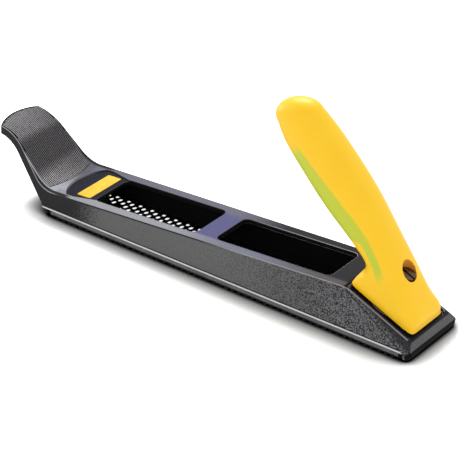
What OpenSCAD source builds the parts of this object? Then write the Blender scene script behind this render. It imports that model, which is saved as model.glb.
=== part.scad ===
// Convertible rasp plane: a cast channel body with a ribbed thumb rest at the toe,
// a perforated rasp blade drawn tight under it by a screw and a hook, and a plastic
// handle that swivels half a turn on an inclined seat, from plane grip to file grip.
// Millimetres. X runs from the toe to the heel, Y across, Z up from the tooth tips.

/* [Body casting] */
// Length of the casting at its base, toe corner to heel
body_l = 261; // [250:1:290]
// Width of the casting across its ledges
body_w = 49; // [47:0.5:56]
// Thickness of the casting's walls and roof
wall = 3; // [2:0.25:4]
// Lean of the side walls inwards, in degrees
side_draft = 11.3; // [8:0.1:13]
// Height of the ledge above the tooth tips
ledge_z = 5; // [4.5:0.25:7]
// How far the bead along the ledge stands out
bead_out = 0.4; // [0.2:0.1:0.8]
// Height of the bead
bead_h = 1.1; // [0.6:0.1:2]
// Height of the flat top above the toe corner
top_z = 15.4; // [14.5:0.2:18]
// Rise of the flat top towards the heel, in degrees
top_rise = 3.7; // [3:0.1:4.5]
// Radius of the heel's corners, seen from above
heel_r = 4; // [3:0.5:12]
// Height of the heel's upright face above the ledge's height
heel_face_h = 0.2; // [0:0.1:1]
// How far the heel's top edge leans in from its base
heel_lean = 2; // [1:0.25:4]

/* [Handle seat] */
// Slope of the seat, in degrees
seat_slope = 23.7; // [21:0.1:24]
// Run of the seat along X
seat_run = 43.8; // [42:0.2:46]
// Distance of the handle's axis from the heel, along X
seat_from_heel = 25.8; // [25:0.2:27]
// Radius of the round pad that the handle turns on
pad_r = 14; // [11:0.5:15]
// How far the pad stands proud of the rim
pad_proud = 0.15; // [0.1:0.05:0.4]
// Depth of the trough round the pad
trough_d = 2; // [1:0.25:2.5]
// How far the seat's rims lie inside the edges of the flat top
seat_inset = 0.6; // [0:0.1:2]
// Width of the rim left at each side of the trough
rim_w = 1.2; // [0.8:0.1:2]

/* [Thumb rest] */
// Steepest slope of the thumb rest, in degrees
thumb_slope = 48; // [44:1:50]
// Radius of the hollow where the flat top turns up
thumb_in_r = 17; // [14:1:20]
// Length of the straight slope
thumb_straight = 18.7; // [15:0.5:22]
// Radius over which the rest bends forward to its lip
thumb_out_r = 27; // [22:1:32]
// Slope of the lip, in degrees
lip_slope = 6; // [2:1:12]
// Length of the lip
lip_l = 6.5; // [4:0.5:9]
// Thickness of the rest
thumb_t = 4.7; // [3.5:0.1:6]
// Radius of the lip's curved front edge, seen from above
lip_r = 29.5; // [24:0.5:40]
// Number of grip ribs
rib_n = 26; // [12:1:30]
// Width over all the ribs
rib_span = 32; // [24:0.5:33]
// Width of one rib
rib_w = 0.6; // [0.3:0.05:0.8]
// Height of one rib
rib_h = 0.45; // [0.2:0.05:0.8]
// Bare edge left between the ribs and the lip's front edge
rib_margin = 1.2; // [0.5:0.1:3]

/* [Windows] */
// Front edge of the front window, from the toe corner
window_x = 32.5; // [32:0.5:36]
// Length of the front window
front_window_l = 76; // [60:1:77]
// Width of the front window
front_window_w = 30.6; // [24:0.2:31]
// Bridge between the two windows
bridge_l = 13.6; // [10:0.2:18]
// Length of the rear window
rear_window_l = 80; // [60:1:81]
// Width of the rear window
rear_window_w = 29; // [24:0.2:30]
// Radius of the windows' corners
window_r = 4; // [2:0.5:8]

/* [Label] */
// Length of the label across the body
label_l = 29; // [16:0.5:31]
// Width of the label along the body
label_w = 10; // [6:0.5:12]
// Thickness of the label
label_t = 0.4; // [0.2:0.05:0.6]
// Width of the recess that holds the label
recess_w = 37; // [33:0.5:39]
// Radius of the recess's curved front edge
recess_r = 26; // [22:0.5:32]
// Front of the recess, from the toe corner
recess_x = 6.2; // [6:0.1:8]
// Depth of the recess
recess_d = 0.8; // [0.6:0.05:1.2]

/* [Rasp blade] */
// Length of the blade
blade_l = 254; // [244:1:254]
// Width of the blade over its flanges
blade_w = 48; // [46:0.25:48.5]
// Thickness of the blade
blade_t = 0.8; // [0.5:0.05:1]
// How far the tooth tips stand below the blade's underside
tooth_h = 0.8; // [0.4:0.05:1]
// Gap between the flange's top edge and the ledge
flange_gap = 0.3; // [0.2:0.05:0.6]
// Distance between holes in one row
hole_pitch = 9.06; // [8:0.02:11]
// Distance between rows of holes
row_pitch = 2.14; // [1.9:0.02:2.4]
// Shift of each row along the blade from the row before
row_shift = 3.8; // [3:0.02:4]
// Length of a hole across the blade
hole_l = 3.4; // [2:0.1:3.6]
// Width of a hole along the blade
hole_w = 2.3; // [1:0.1:2.6]
// Bare length left at each end of the blade
blade_end = 7; // [5:0.5:12]

/* [Blade tension] */
// Diameter of the tension screw
tension_d = 5; // [4:0.5:6]
// Thread pitch of the tension screw
tension_pitch = 0.8; // [0.7:0.05:1]
// Turns that slacken the blade
tension_turns = 4; // [3:0.5:5]
// Height of the tension screw's axis
tension_z = 8.8; // [8.6:0.1:9]
// Width of the hook
hook_w = 16; // [14:0.5:20]
// Width of the finger that catches the blade
finger_w = 10; // [8:0.5:12]
// Thickness of the finger
finger_t = 3; // [2:0.25:4]

/* [Handle] */
// Width of the handle's foot
foot_w = 30.6; // [26:0.2:32]
// Reach of the foot from the axis towards the toe
foot_front = 21.5; // [19:0.25:22]
// Reach of the foot from the axis towards the heel
foot_back = 23.4; // [22:0.1:25]
// How far the grip reaches forward of the handle's pivot, along the seat
grip_reach = 106.5; // [95:0.5:120]
// Height of the neck's back above the foot
neck_h = 22.3; // [20.5:0.1:25]
// Greatest width of the grip
grip_w = 26.4; // [22:0.2:30]
// Length of the grip's rounded tip
tip_l = 10; // [6:0.5:14]
// Diameter of the handle screw
screw_d = 6; // [5:0.5:7]
// Thread pitch of the handle screw
screw_pitch = 1; // [0.8:0.05:1.25]
// Turns that free the handle
screw_turns = 2; // [1:0.5:3]
// Height of the counterbore's floor above the foot
bore_floor = 12.8; // [12:0.1:14]
// Diameter of the screw's head
head_d = 9; // [8:0.25:9.5]
// Height of the screw's head
head_h = 4; // [3:0.25:5]
// Radial room round the screw's head in the handle
head_room = 0.6; // [0.3:0.1:1]
// Outer diameter of the bush in the handle
bush_d = 9; // [8.5:0.25:10]
// How far the bush reaches down into the seat
bush_reach = 2; // [1.5:0.25:3]

/* [Clearances] */
// Radial clearance of a running fit
run_gap = 0.05; // [0.02:0.01:0.08]
// Radial clearance of a screw that passes through freely
pass_gap = 0.3; // [0.2:0.05:0.5]
// Gap between parts that don't touch
free_gap = 0.3; // [0.2:0.05:0.5]

/* [Hidden] */
$fn = 48;
eps = 0.01;

// The flat top as a line over X, and the half width of the drafted body at a height
function top_at(x) = top_z + x * tan(top_rise);
function half_w_at(z) = body_w / 2 - (z - ledge_z) * tan(side_draft);

// The seat's plane: where it leaves the flat top, and the point under the handle's axis
seat_top_x = body_l - heel_lean - seat_run;
seat_x = body_l - seat_from_heel;
seat_z = top_at(seat_top_x) - (seat_x - seat_top_x) * tan(seat_slope);
heel_z = top_at(seat_top_x) - seat_run * tan(seat_slope);
seat_front_u = (seat_x - seat_top_x) / cos(seat_slope);
seat_back_u = (seat_from_heel - heel_lean) / cos(seat_slope);
function seat_at(x) = heel_z + (body_l - heel_lean - x) * tan(seat_slope);
foot_lift = pad_proud + run_gap;

// The thumb rest's upper side, walked from the flat top to the lip
arc_steps = 8;
hollow_x = 6;
hollow_end = [hollow_x - thumb_in_r * (sin(thumb_slope) + sin(top_rise)),
              top_at(hollow_x) + thumb_in_r * (cos(top_rise) - cos(thumb_slope))];
slope_end = hollow_end + thumb_straight * [-cos(thumb_slope), sin(thumb_slope)];
bend_end = slope_end + thumb_out_r * [sin(lip_slope) - sin(thumb_slope),
                                      cos(lip_slope) - cos(thumb_slope)];
lip_end = bend_end + lip_l * [-cos(lip_slope), sin(lip_slope)];
function step_angle(a, b, i) = a + (b - a) * i / arc_steps;
// Points of the upper side, moved out of the metal by a distance
function thumb_top(out) = concat(
    [for (i = [0:arc_steps]) let (a = step_angle(-top_rise, thumb_slope, i))
        [hollow_x - thumb_in_r * (sin(a) + sin(top_rise)) + out * sin(a),
         top_at(hollow_x) + thumb_in_r * (cos(top_rise) - cos(a)) + out * cos(a)]],
    [for (i = [0:arc_steps]) let (a = step_angle(thumb_slope, lip_slope, i))
        [slope_end[0] + thumb_out_r * (sin(a) - sin(thumb_slope)) + out * sin(a),
         slope_end[1] + thumb_out_r * (cos(a) - cos(thumb_slope)) + out * cos(a)]],
    [lip_end + out * [sin(lip_slope), cos(lip_slope)]]);
lip_x = lip_end[0];

// Underside of the casting, and the blade's place under it
blade_floor_z = tooth_h + blade_t;
nose_x = 0.4;
blade_shift = 0.5;
blade_x = (body_l - blade_l) / 2 - blade_shift;
flange_in = blade_w / 2 - blade_t;
skirt_out = flange_in - free_gap;
skirt_t = wall - 0.5;
skirt_in = skirt_out - skirt_t;
channel_x = 12;
channel_end = body_l - 14;
// Gap round a nut in its pocket
nut_gap = 0.1;

// Tension screw: its stations along X, from the head's face to the shank's end
tension_bore_x = 4.5;
tension_washer_t = 1;
tension_head_h = 3.3;
tension_head_r = tension_d * 0.85;
tension_washer_r = tension_head_r + 0.6;
clip_t = 0.8;
clip_gap = 0.05;
clip_x = channel_x + 0.2;
clip_groove_r = tension_d / 2 - 0.4;
hook_x = clip_x + clip_t + 0.6;
hook_l = 11;
hook_travel = tension_pitch * tension_turns;
hook_floor = blade_floor_z + 1.2;
hook_roof = top_at(hook_x) - wall - 0.5;
nut_pocket_x = hook_x + 2.2;
tension_nut_t = 4;
tension_nut_land = 1.5;
tension_nut_w = tension_d + 2 * tension_nut_land;
tension_nut_h = tension_nut_w - 1;
finger_back = 4;
finger_x = hook_x + hook_l - finger_back;
tension_end = hook_x + hook_l + 1;

// Heel lug that holds the blade's other end. It and the hook's finger stay above the teeth.
lug_x = channel_end + 2;
finger_z = tooth_h + 0.1;

// Handle screw: its levels along the seat's normal, above the foot
washer_t = 1.2;
lock_washer_t = 1.4;
under_head = bore_floor + washer_t + lock_washer_t;
nut_t = 5;
nut_land = 2;
nut_w = screw_d + 2 * nut_land;
nut_top = -8.5;
boss_wall = 4;
boss_r = nut_w / 2 + boss_wall;
boss_end = nut_top - nut_t;
// The shank passes the nut by a quarter of the screw's lift
screw_end = boss_end - screw_pitch * screw_turns / 4;

// The handle's outline, in the seat's frame: one line for each section, with its front
// point, its back point, its half width and how square it is. The grip is set from the neck.
// The numbers are drawn for a grip that reaches 106.5, and k fits them to grip_reach.
k = grip_reach / 106.5;
grip_h = grip_w / 2;
foot_h = foot_w / 2;
SECTIONS = [
    [-foot_front, 0, foot_back, 0, foot_h, 12],
    [-foot_front, 2.6 * k, foot_back - 1.8 * k, 5.6 * k, foot_h - 0.3 * k, 8],
    [-foot_front + 0.2 * k, 5.4 * k, 16 * k, 10 * k, foot_h - 1.1 * k, 4.4],
    [-foot_front + 0.7 * k, 10.1 * k, 8.5 * k, 15.5 * k, grip_h + 0.3 * k, 3.4],
    [-25 * k, neck_h - 7.3 * k, -0.5 * k, neck_h, grip_h - 0.2 * k, 2.9],
    [-39.5 * k, neck_h - 3.3 * k, -17 * k, neck_h + 11.2 * k, grip_h - 0.2 * k, 2.6],
    [-58 * k, neck_h + 1.7 * k, -35 * k, neck_h + 22.9 * k, grip_h, 2.5],
    [-77 * k, neck_h + 9.3 * k, -55.7 * k, neck_h + 33.1 * k, grip_h, 2.4],
    [-95.5 * k, neck_h + 17.5 * k, -74.3 * k, neck_h + 41 * k, grip_h - 0.8 * k, 2.3],
    [-grip_reach, neck_h + 24.9 * k, -87.1 * k, neck_h + 45.7 * k, grip_h - 2.7 * k, 2.2]];
between = 4;
tip_rings = 6;
ring_n = 28;

// Smooth curve through four sections, from the second to the third
function smooth(a, b, c, d, t) =
    0.5 * (2 * b + (c - a) * t + (2 * a - 5 * b + 4 * c - d) * t * t
           + (3 * b - a - 3 * c + d) * t * t * t);
last = len(SECTIONS) - 1;
function section_at(i, t) =
    smooth(SECTIONS[max(i - 1, 0)], SECTIONS[i], SECTIONS[i + 1], SECTIONS[min(i + 2, last)], t);
function front_of(s) = [s[0], s[1]];
function back_of(s) = [s[2], s[3]];
function mid_of(s) = (front_of(s) + back_of(s)) / 2;
end_section = SECTIONS[last];
before_end = section_at(last - 1, 0.5);
tip_way = (mid_of(end_section) - mid_of(before_end)) / norm(mid_of(end_section) - mid_of(before_end));
// Section of the rounded tip, at an angle from 0 at its root to 90 at its point
function tip_section(a) =
    let (m = mid_of(end_section) + tip_way * tip_l * sin(a),
         h = (back_of(end_section) - front_of(end_section)) / 2 * cos(a))
    [m[0] - h[0], m[1] - h[1], m[0] + h[0], m[1] + h[1], end_section[4] * cos(a), end_section[5]];
ALL_SECTIONS = concat(
    [for (i = [0:last - 1]) for (k = [0:between - 1]) section_at(i, k / between)],
    [end_section],
    [for (k = [1:tip_rings - 1]) tip_section(90 * k / tip_rings)]);
tip_point = tip_section(90);
// A rounded square's cosine and sine, more square as the power rises
function soft(v, power) = sign(v) * pow(abs(v), 2 / power);
function ring(s) = [for (j = [0:ring_n - 1])
    let (a = 360 * j / ring_n, m = mid_of(s), h = (back_of(s) - front_of(s)) / 2,
         c = soft(cos(a), s[5]))
    [m[0] + h[0] * c, s[4] * soft(sin(a), s[5]), m[1] + h[1] * c]];

// Whole length, from the lip to the heel, and its middle
middle_x = (lip_x + body_l) / 2;

// Places a child that is drawn from the toe corner so that the origin is mid-length
module placed() {
    translate([-middle_x, 0, 0]) children();
}

// Frame of the handle: origin on the axis at the foot, Z along the seat's normal
module on_seat() {
    translate([seat_x, 0, seat_z]) rotate([0, seat_slope, 0])
        translate([0, 0, foot_lift]) children();
}

// Frame of the flat top at a distance from the toe corner
module on_top(x) {
    translate([x, 0, top_at(x)]) rotate([0, -top_rise, 0]) children();
}

// Frame of the tension screw, Z along the body
module on_tension(x) {
    translate([x, 0, tension_z]) rotate([0, 90, 0]) children();
}

// Draws a side view, given in X and Z, to a width
module side_view(points, width) {
    rotate([90, 0, 0]) linear_extrude(width, center = true) polygon(points);
}

// Rectangle with round corners, from a low corner to a high corner
module round_rect(x0, y0, x1, y1, r) {
    translate([x0 + r, y0]) square([x1 - x0 - 2 * r, y1 - y0]);
    translate([x0, y0 + r]) square([x1 - x0, y1 - y0 - 2 * r]);
    for (x = [x0 + r, x1 - r], y = [y0 + r, y1 - r])
        translate([x, y]) circle(r);
}

// Side outline of the casting, with the thumb rest as one curved tongue
module side_solid() {
    heel_foot = ledge_z + heel_face_h;
    side_view(concat(
        [[nose_x, blade_floor_z], [body_l, blade_floor_z], [body_l, heel_foot],
         [body_l - heel_lean, heel_z], [seat_top_x, top_at(seat_top_x)]],
        thumb_top(0),
        [for (i = [2 * arc_steps + 2:-1:arc_steps + 1]) thumb_top(-thumb_t)[i]],
        [[0, ledge_z]]), 2 * body_w);
}

// Outline from above: the lip's curve and the rounded heel
module plan_solid() {
    linear_extrude(4 * body_w) {
        translate([lip_x + lip_r, 0]) circle(lip_r, $fn = 96);
        translate([lip_x + lip_r, -body_w]) square([body_l - lip_x - lip_r - heel_r, 2 * body_w]);
        heel_half = body_w / 2 + bead_out;
        round_rect(seat_top_x, -heel_half, body_l, heel_half, heel_r);
    }
}

// Outline from the end: drafted sides, the bead and the inner skirts
module end_solid() {
    half = body_w / 2;
    bead = half + bead_out;
    above = 3 * body_w;
    reach = half_w_at(above / 2);
    right = [[skirt_out, blade_floor_z - eps], [skirt_out, ledge_z], [bead, ledge_z],
             [bead, ledge_z + bead_h * 0.6], [half_w_at(ledge_z + bead_h), ledge_z + bead_h],
             [reach, above / 2]];
    left = [for (i = [len(right) - 1:-1:0]) [-right[i][0], right[i][1]]];
    translate([lip_x - 1, 0, 0]) rotate([90, 0, 90])
        linear_extrude(body_l - lip_x + 2) polygon(concat(right, left));
}

// Full-width lips that close the ends of the blade's place
module end_lips() {
    half = body_w / 2;
    for (x = [[nose_x, blade_x - free_gap], [blade_x + blade_l + free_gap, body_l]])
        translate([x[0], -half, blade_floor_z]) cube([x[1] - x[0], body_w, ledge_z - blade_floor_z + eps]);
}

// The channel under the roof, open at the bottom
module channel() {
    low = blade_floor_z - 1;
    inner = half_w_at(ledge_z) - wall - 0.4;
    rise = half_w_at(3 * ledge_z) - half_w_at(ledge_z);
    roof = wall / cos(top_rise);
    seat_roof = (wall + trough_d) / cos(seat_slope);
    intersection() {
        side_view([[channel_x, low], [channel_end, low], [channel_end, seat_at(channel_end) - seat_roof],
                   [seat_top_x, seat_at(seat_top_x) - seat_roof],
                   [seat_top_x - 10, top_at(seat_top_x - 10) - roof],
                   [channel_x, top_at(channel_x) - roof]], 2 * body_w);
        rotate([90, 0, 90]) linear_extrude(body_l)
            polygon([[-skirt_in, low - 1], [skirt_in, low - 1], [skirt_in, ledge_z],
                     [inner + 2 * rise, 5 * ledge_z], [inner + 2 * rise, 9 * ledge_z],
                     [-inner - 2 * rise, 9 * ledge_z], [-inner - 2 * rise, 5 * ledge_z],
                     [-skirt_in, ledge_z]]);
    }
}

module windows() {
    low = ledge_z + 2;
    rear_x = window_x + front_window_l + bridge_l;
    translate([0, 0, low]) linear_extrude(body_w) {
        round_rect(window_x, -front_window_w / 2, window_x + front_window_l, front_window_w / 2,
                   window_r);
        round_rect(rear_x, -rear_window_w / 2, rear_x + rear_window_l, rear_window_w / 2, window_r);
    }
}

// Shallow recess with a curved front edge, which narrows to the front window and ends in it
module label_recess() {
    reach = (window_x - recess_x) / cos(top_rise);
    half = recess_w / 2;
    mouth = front_window_w / 2 - 1;
    on_top(recess_x) translate([0, 0, -recess_d]) linear_extrude(recess_d + 3)
        intersection() {
            translate([recess_r, 0]) circle(recess_r, $fn = 96);
            polygon([[0, -half], [reach / 2, -half], [reach + window_r, -mouth],
                     [reach + window_r, mouth], [reach / 2, half], [0, half]]);
        }
}

// Fine ribs along the thumb rest, all following its curve
module ribs() {
    pitch = (rib_span - rib_w) / (rib_n - 1);
    root = 0.3;
    band = concat(thumb_top(rib_h),
                  [for (i = [2 * arc_steps + 2:-1:0]) thumb_top(-root)[i]]);
    intersection() {
        for (i = [0:rib_n - 1])
            translate([0, -rib_span / 2 + rib_w / 2 + i * pitch, 0]) side_view(band, rib_w);
        linear_extrude(4 * body_w) translate([lip_x + lip_r, 0]) circle(lip_r - rib_margin, $fn = 96);
    }
}

// Boss under the seat that holds the nut, and the seat's raised pad
module seat_metal() {
    on_seat() {
        translate([0, 0, boss_end]) cylinder(r = boss_r, h = -boss_end - trough_d);
        translate([0, 0, -trough_d - 1]) cylinder(r = pad_r, h = trough_d + 1, $fn = 96);
    }
}

// Flanks that lean out from the seat's straight rims to the ledge, at 45 degrees across
module seat_flanks() {
    seat_half = half_w_at(top_at(seat_top_x)) - seat_inset;
    fall = cos(seat_slope);
    inner = 3;
    outer = body_w / 2;
    on_seat() for (s = [-1, 1])
        translate([-seat_front_u - 2 * inner, 0, -foot_lift]) rotate([90, 0, 90])
            linear_extrude(seat_front_u + seat_back_u + 4 * inner)
                polygon([[s * (seat_half - inner), inner * fall],
                         [s * (seat_half + outer), -outer * fall],
                         [s * (seat_half + outer), inner * fall]]);
}

// Outline of the trough, which keeps an even rim along the seat's sides
module trough_plan() {
    front = 1.5 - seat_front_u;
    back = seat_back_u - 1.2;
    half = half_w_at(top_at(seat_top_x)) - seat_inset - rim_w;
    corner = 2;
    polygon([[front, -half], [back - corner, -half], [back, corner - half],
             [back, half - corner], [back - corner, half], [front, half]]);
}

// Trough round the pad, bore for the bush, hole for the screw and pocket for the nut
module seat_cuts() {
    pocket_w = nut_w + 2 * nut_gap;
    on_seat() {
        difference() {
            translate([0, 0, -trough_d - foot_lift]) linear_extrude(body_w) trough_plan();
            translate([0, 0, -trough_d - 2]) cylinder(r = pad_r, h = trough_d + 2, $fn = 96);
        }
        translate([0, 0, -bush_reach - free_gap])
            cylinder(d = bush_d + 2 * run_gap, h = bush_reach + body_w);
        translate([0, 0, boss_end - 1]) cylinder(d = screw_d + 2 * pass_gap, h = -boss_end + 2);
        translate([-pocket_w / 2, -pocket_w / 2, boss_end - 1])
            cube([pocket_w, pocket_w, nut_top - boss_end + 1]);
    }
}

// Spot face and bore for the tension screw, through the nose
module tension_cuts() {
    on_tension(tension_bore_x - body_w) cylinder(r = tension_washer_r + free_gap, h = body_w);
    on_tension(0) cylinder(d = tension_d + 2 * pass_gap, h = channel_x + 1);
}

// Ribs that guide the hook, cast under the roof
module hook_guides() {
    guide_end = hook_x + hook_l + hook_travel + 1;
    guide_t = 2;
    inner = hook_w / 2 + free_gap;
    for (s = [-1, 1])
        translate([channel_x - 1, s > 0 ? inner : -inner - guide_t, hook_floor])
            cube([guide_end - channel_x + 1, guide_t, hook_roof + 1 - hook_floor]);
}

module body_casting() {
    color([0.30, 0.30, 0.33]) placed() {
        difference() {
            union() {
                intersection() {
                    side_solid();
                    plan_solid();
                    union() {
                        end_solid();
                        end_lips();
                    }
                }
                ribs();
            }
            difference() {
                channel();
                seat_metal();
                hook_guides();
            }
            windows();
            label_recess();
            seat_flanks();
            seat_cuts();
            tension_cuts();
        }
        on_seat() difference() {
            translate([0, 0, -trough_d]) cylinder(r = pad_r, h = trough_d - run_gap, $fn = 96);
            translate([0, 0, -trough_d - 1]) cylinder(d = bush_d + 2 * run_gap, h = trough_d + 2);
        }
        translate([lug_x, -finger_w / 2, finger_z]) cube([finger_t, finger_w, blade_t + 1]);
    }
}

// Bare label, seated in its recess
module label_plate() {
    from_window = 4;
    color([0.95, 0.78, 0.15]) placed()
        on_top(window_x - from_window - label_w / 2)
            translate([-label_w / 2, -label_l / 2, -recess_d])
                linear_extrude(label_t) round_rect(0, 0, label_w, label_l, 0.8);
}

// Slots at the blade's ends, one for the hook with room to slacken, one for the heel lug
slot_room = 0.4;
front_slot = [finger_x, finger_x + finger_t + hook_travel + slot_room];
rear_slot = [lug_x - slot_room, lug_x + finger_t];
slot_half = finger_w / 2 + 0.5;

// True where a hole would run into a slot
function near_slot(x, y) =
    abs(y) < slot_half + hole_l
    && (x < front_slot[1] + 2 * hole_w || x > rear_slot[0] - 2 * hole_w);

// One hole: a short slot across the blade with round ends
module hole() {
    square([hole_w, hole_l - hole_w], center = true);
    for (s = [-1, 1]) translate([0, s * (hole_l - hole_w) / 2]) circle(d = hole_w, $fn = 16);
}

module blade_holes() {
    rows = floor((flange_in - hole_l / 2 - 0.8) / row_pitch);
    columns = ceil(blade_l / hole_pitch) + 1;
    for (r = [-rows:rows], k = [-columns:columns]) {
        x = body_l / 2 + (k + 0.5) * hole_pitch + r * row_shift;
        y = -r * row_pitch;
        if (x > blade_x + blade_end && x < blade_x + blade_l - blade_end && !near_slot(x, y))
            translate([x, y]) hole();
    }
}

// Teeth along both lower edges, at half the pitch of the holes
module edge_teeth() {
    pitch = hole_pitch / 2;
    count = round((blade_l - 2 * blade_end) / pitch) + 1;
    tooth_l = pitch * 0.45;
    tooth_w = 2;
    land = 0.5;
    for (i = [0:count - 1], s = [-1, 1])
        translate([body_l / 2 + (i - (count - 1) / 2) * pitch, s * (blade_w - tooth_w) / 2, 0])
            side_view([[-land / 2, 0], [land / 2, 0], [tooth_l / 2, tooth_h], [-tooth_l / 2, tooth_h]],
                      tooth_w);
}

module rasp_blade() {
    flange_h = ledge_z - flange_gap - tooth_h;
    corner = 5;
    flange_x = blade_x + corner;
    color([0.55, 0.55, 0.58]) placed() {
        translate([0, 0, tooth_h]) linear_extrude(blade_t) difference() {
            round_rect(blade_x, -blade_w / 2, blade_x + blade_l, blade_w / 2, corner);
            blade_holes();
            translate([front_slot[0], -slot_half]) square([front_slot[1] - front_slot[0], 2 * slot_half]);
            translate([rear_slot[0], -slot_half]) square([rear_slot[1] - rear_slot[0], 2 * slot_half]);
        }
        for (s = [-1, 1])
            translate([flange_x, s > 0 ? flange_in : -blade_w / 2, tooth_h])
                cube([blade_l - 2 * corner, blade_t, flange_h]);
        edge_teeth();
    }
}

// Sliding hook: a block round the tension screw, with a finger down through the blade
module tension_hook() {
    color([0.62, 0.62, 0.64]) placed() difference() {
        union() {
            translate([hook_x, -hook_w / 2, hook_floor]) cube([hook_l, hook_w, hook_roof - hook_floor]);
            translate([finger_x, -finger_w / 2, finger_z])
                cube([finger_t, finger_w, hook_floor - tooth_h]);
        }
        on_tension(hook_x - 1) cylinder(d = tension_d + 2 * pass_gap, h = hook_l + 2);
        translate([nut_pocket_x, -tension_nut_w / 2 - nut_gap, tension_z - tension_nut_h / 2 - nut_gap])
            cube([tension_nut_t + nut_gap, tension_nut_w + 2 * nut_gap, body_w]);
    }
}

// Square nut held in the hook
module tension_nut() {
    color([0.75, 0.75, 0.72]) placed() difference() {
        translate([nut_pocket_x, -tension_nut_w / 2, tension_z - tension_nut_h / 2])
            cube([tension_nut_t, tension_nut_w, tension_nut_h]);
        on_tension(nut_pocket_x - 1) cylinder(d = tension_d + 2 * run_gap, h = tension_nut_t + 2);
    }
}

// Cheese head screw with a cross slot, drawn with its head at the top
module slotted_screw(d, head_dia, head_height, shank) {
    slot_w = head_dia * 0.14;
    slot_d = head_height * 0.45;
    difference() {
        cylinder(d = head_dia, h = head_height);
        translate([-head_dia, -slot_w / 2, head_height - slot_d])
            cube([2 * head_dia, slot_w, slot_d + 1]);
    }
    translate([0, 0, -shank]) cylinder(d = d, h = shank + eps);
}

module tension_screw() {
    head_x = tension_bore_x - tension_washer_t;
    color([0.58, 0.57, 0.54]) placed() difference() {
        on_tension(head_x) rotate([180, 0, 0])
            slotted_screw(tension_d, 2 * tension_head_r, tension_head_h, tension_end - head_x);
        on_tension(clip_x) difference() {
            cylinder(r = tension_d, h = clip_t);
            translate([0, 0, -1]) cylinder(r = clip_groove_r, h = clip_t + 2);
        }
    }
}

module tension_washer() {
    color([0.78, 0.78, 0.76]) placed() on_tension(tension_bore_x - tension_washer_t) difference() {
        cylinder(r = tension_washer_r, h = tension_washer_t);
        translate([0, 0, -1]) cylinder(d = tension_d + 2 * pass_gap, h = tension_washer_t + 2);
    }
}

// Open ring in the screw's groove, which keeps the screw in the nose
module screw_clip() {
    mouth = clip_groove_r * 1.6;
    color([0.25, 0.25, 0.27]) placed() on_tension(clip_x + clip_gap) difference() {
        cylinder(r = tension_d / 2 + 1.8, h = clip_t - 2 * clip_gap);
        translate([0, 0, -1]) cylinder(r = clip_groove_r + clip_gap / 2, h = clip_t + 2);
        translate([0, -mouth / 2, -1]) cube([tension_d * 2, mouth, clip_t + 2]);
    }
}

// One smooth form from the foot through the neck to the rounded tip
module grip_form() {
    count = len(ALL_SECTIONS);
    points = concat([for (s = ALL_SECTIONS) each ring(s)], [[tip_point[0], 0, tip_point[1]]]);
    top = count * ring_n;
    faces = concat(
        [[for (j = [0:ring_n - 1]) j]],
        [for (i = [0:count - 2], j = [0:ring_n - 1]) let (k = (j + 1) % ring_n)
            each [[i * ring_n + j, (i + 1) * ring_n + j, (i + 1) * ring_n + k],
                  [i * ring_n + j, (i + 1) * ring_n + k, i * ring_n + k]]],
        [for (j = [0:ring_n - 1]) [top - ring_n + j, top, top - ring_n + (j + 1) % ring_n]]);
    polyhedron(points, faces);
}

module handle() {
    counterbore = head_d + 2 * head_room;
    color([1.0, 0.78, 0.16]) placed() on_seat() difference() {
        grip_form();
        translate([0, 0, -1]) cylinder(d = bush_d + 2 * run_gap, h = bore_floor + 2);
        translate([0, 0, bore_floor]) cylinder(d = counterbore, h = body_w);
    }
}

// Steel bush through the handle, whose lower end is the pivot in the seat
module handle_bush() {
    color([0.72, 0.72, 0.70]) placed() on_seat() difference() {
        translate([0, 0, -bush_reach]) cylinder(d = bush_d, h = bush_reach + bore_floor);
        translate([0, 0, -bush_reach - 1])
            cylinder(d = screw_d + 2 * run_gap, h = bush_reach + bore_floor + 2);
    }
}

module handle_screw() {
    color([0.33, 0.28, 0.24]) placed() on_seat() translate([0, 0, under_head])
        slotted_screw(screw_d, head_d, head_h, under_head - screw_end);
}

module handle_washer() {
    color([0.74, 0.74, 0.72]) placed() on_seat() translate([0, 0, bore_floor]) difference() {
        cylinder(d = head_d + 0.6, h = washer_t);
        translate([0, 0, -1]) cylinder(d = screw_d + 2 * run_gap, h = washer_t + 2);
    }
}

// Split spring washer between the plain washer and the head
module lock_washer() {
    split = 0.8;
    color([0.50, 0.50, 0.52]) placed() on_seat() translate([0, 0, bore_floor + washer_t]) difference() {
        cylinder(d = head_d, h = lock_washer_t);
        translate([0, 0, -1]) cylinder(d = screw_d + 2 * run_gap, h = lock_washer_t + 2);
        translate([0, -split / 2, -1]) cube([head_d, split, lock_washer_t + 2]);
    }
}

// Square nut in the pocket under the seat
module handle_nut() {
    color([0.75, 0.75, 0.72]) placed() on_seat() difference() {
        translate([-nut_w / 2, -nut_w / 2, nut_top - nut_t]) cube([nut_w, nut_w, nut_t]);
        translate([0, 0, nut_top - nut_t - 1]) cylinder(d = screw_d + 2 * run_gap, h = nut_t + 2);
    }
}

body_casting();
label_plate();
rasp_blade();
tension_hook();
tension_nut();
tension_screw();
tension_washer();
screw_clip();
handle();
handle_bush();
handle_screw();
handle_washer();
lock_washer();
handle_nut();
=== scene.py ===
"""Looks of the rasp plane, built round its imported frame.

Sizes are real millimetres, measured from the toe corner as on a drawing: X to the heel, Y across, Z up.
The function at() turns such a point into the frame's metres.
"""

import math

import bmesh
import bpy
from mathutils import Matrix, Vector

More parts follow.
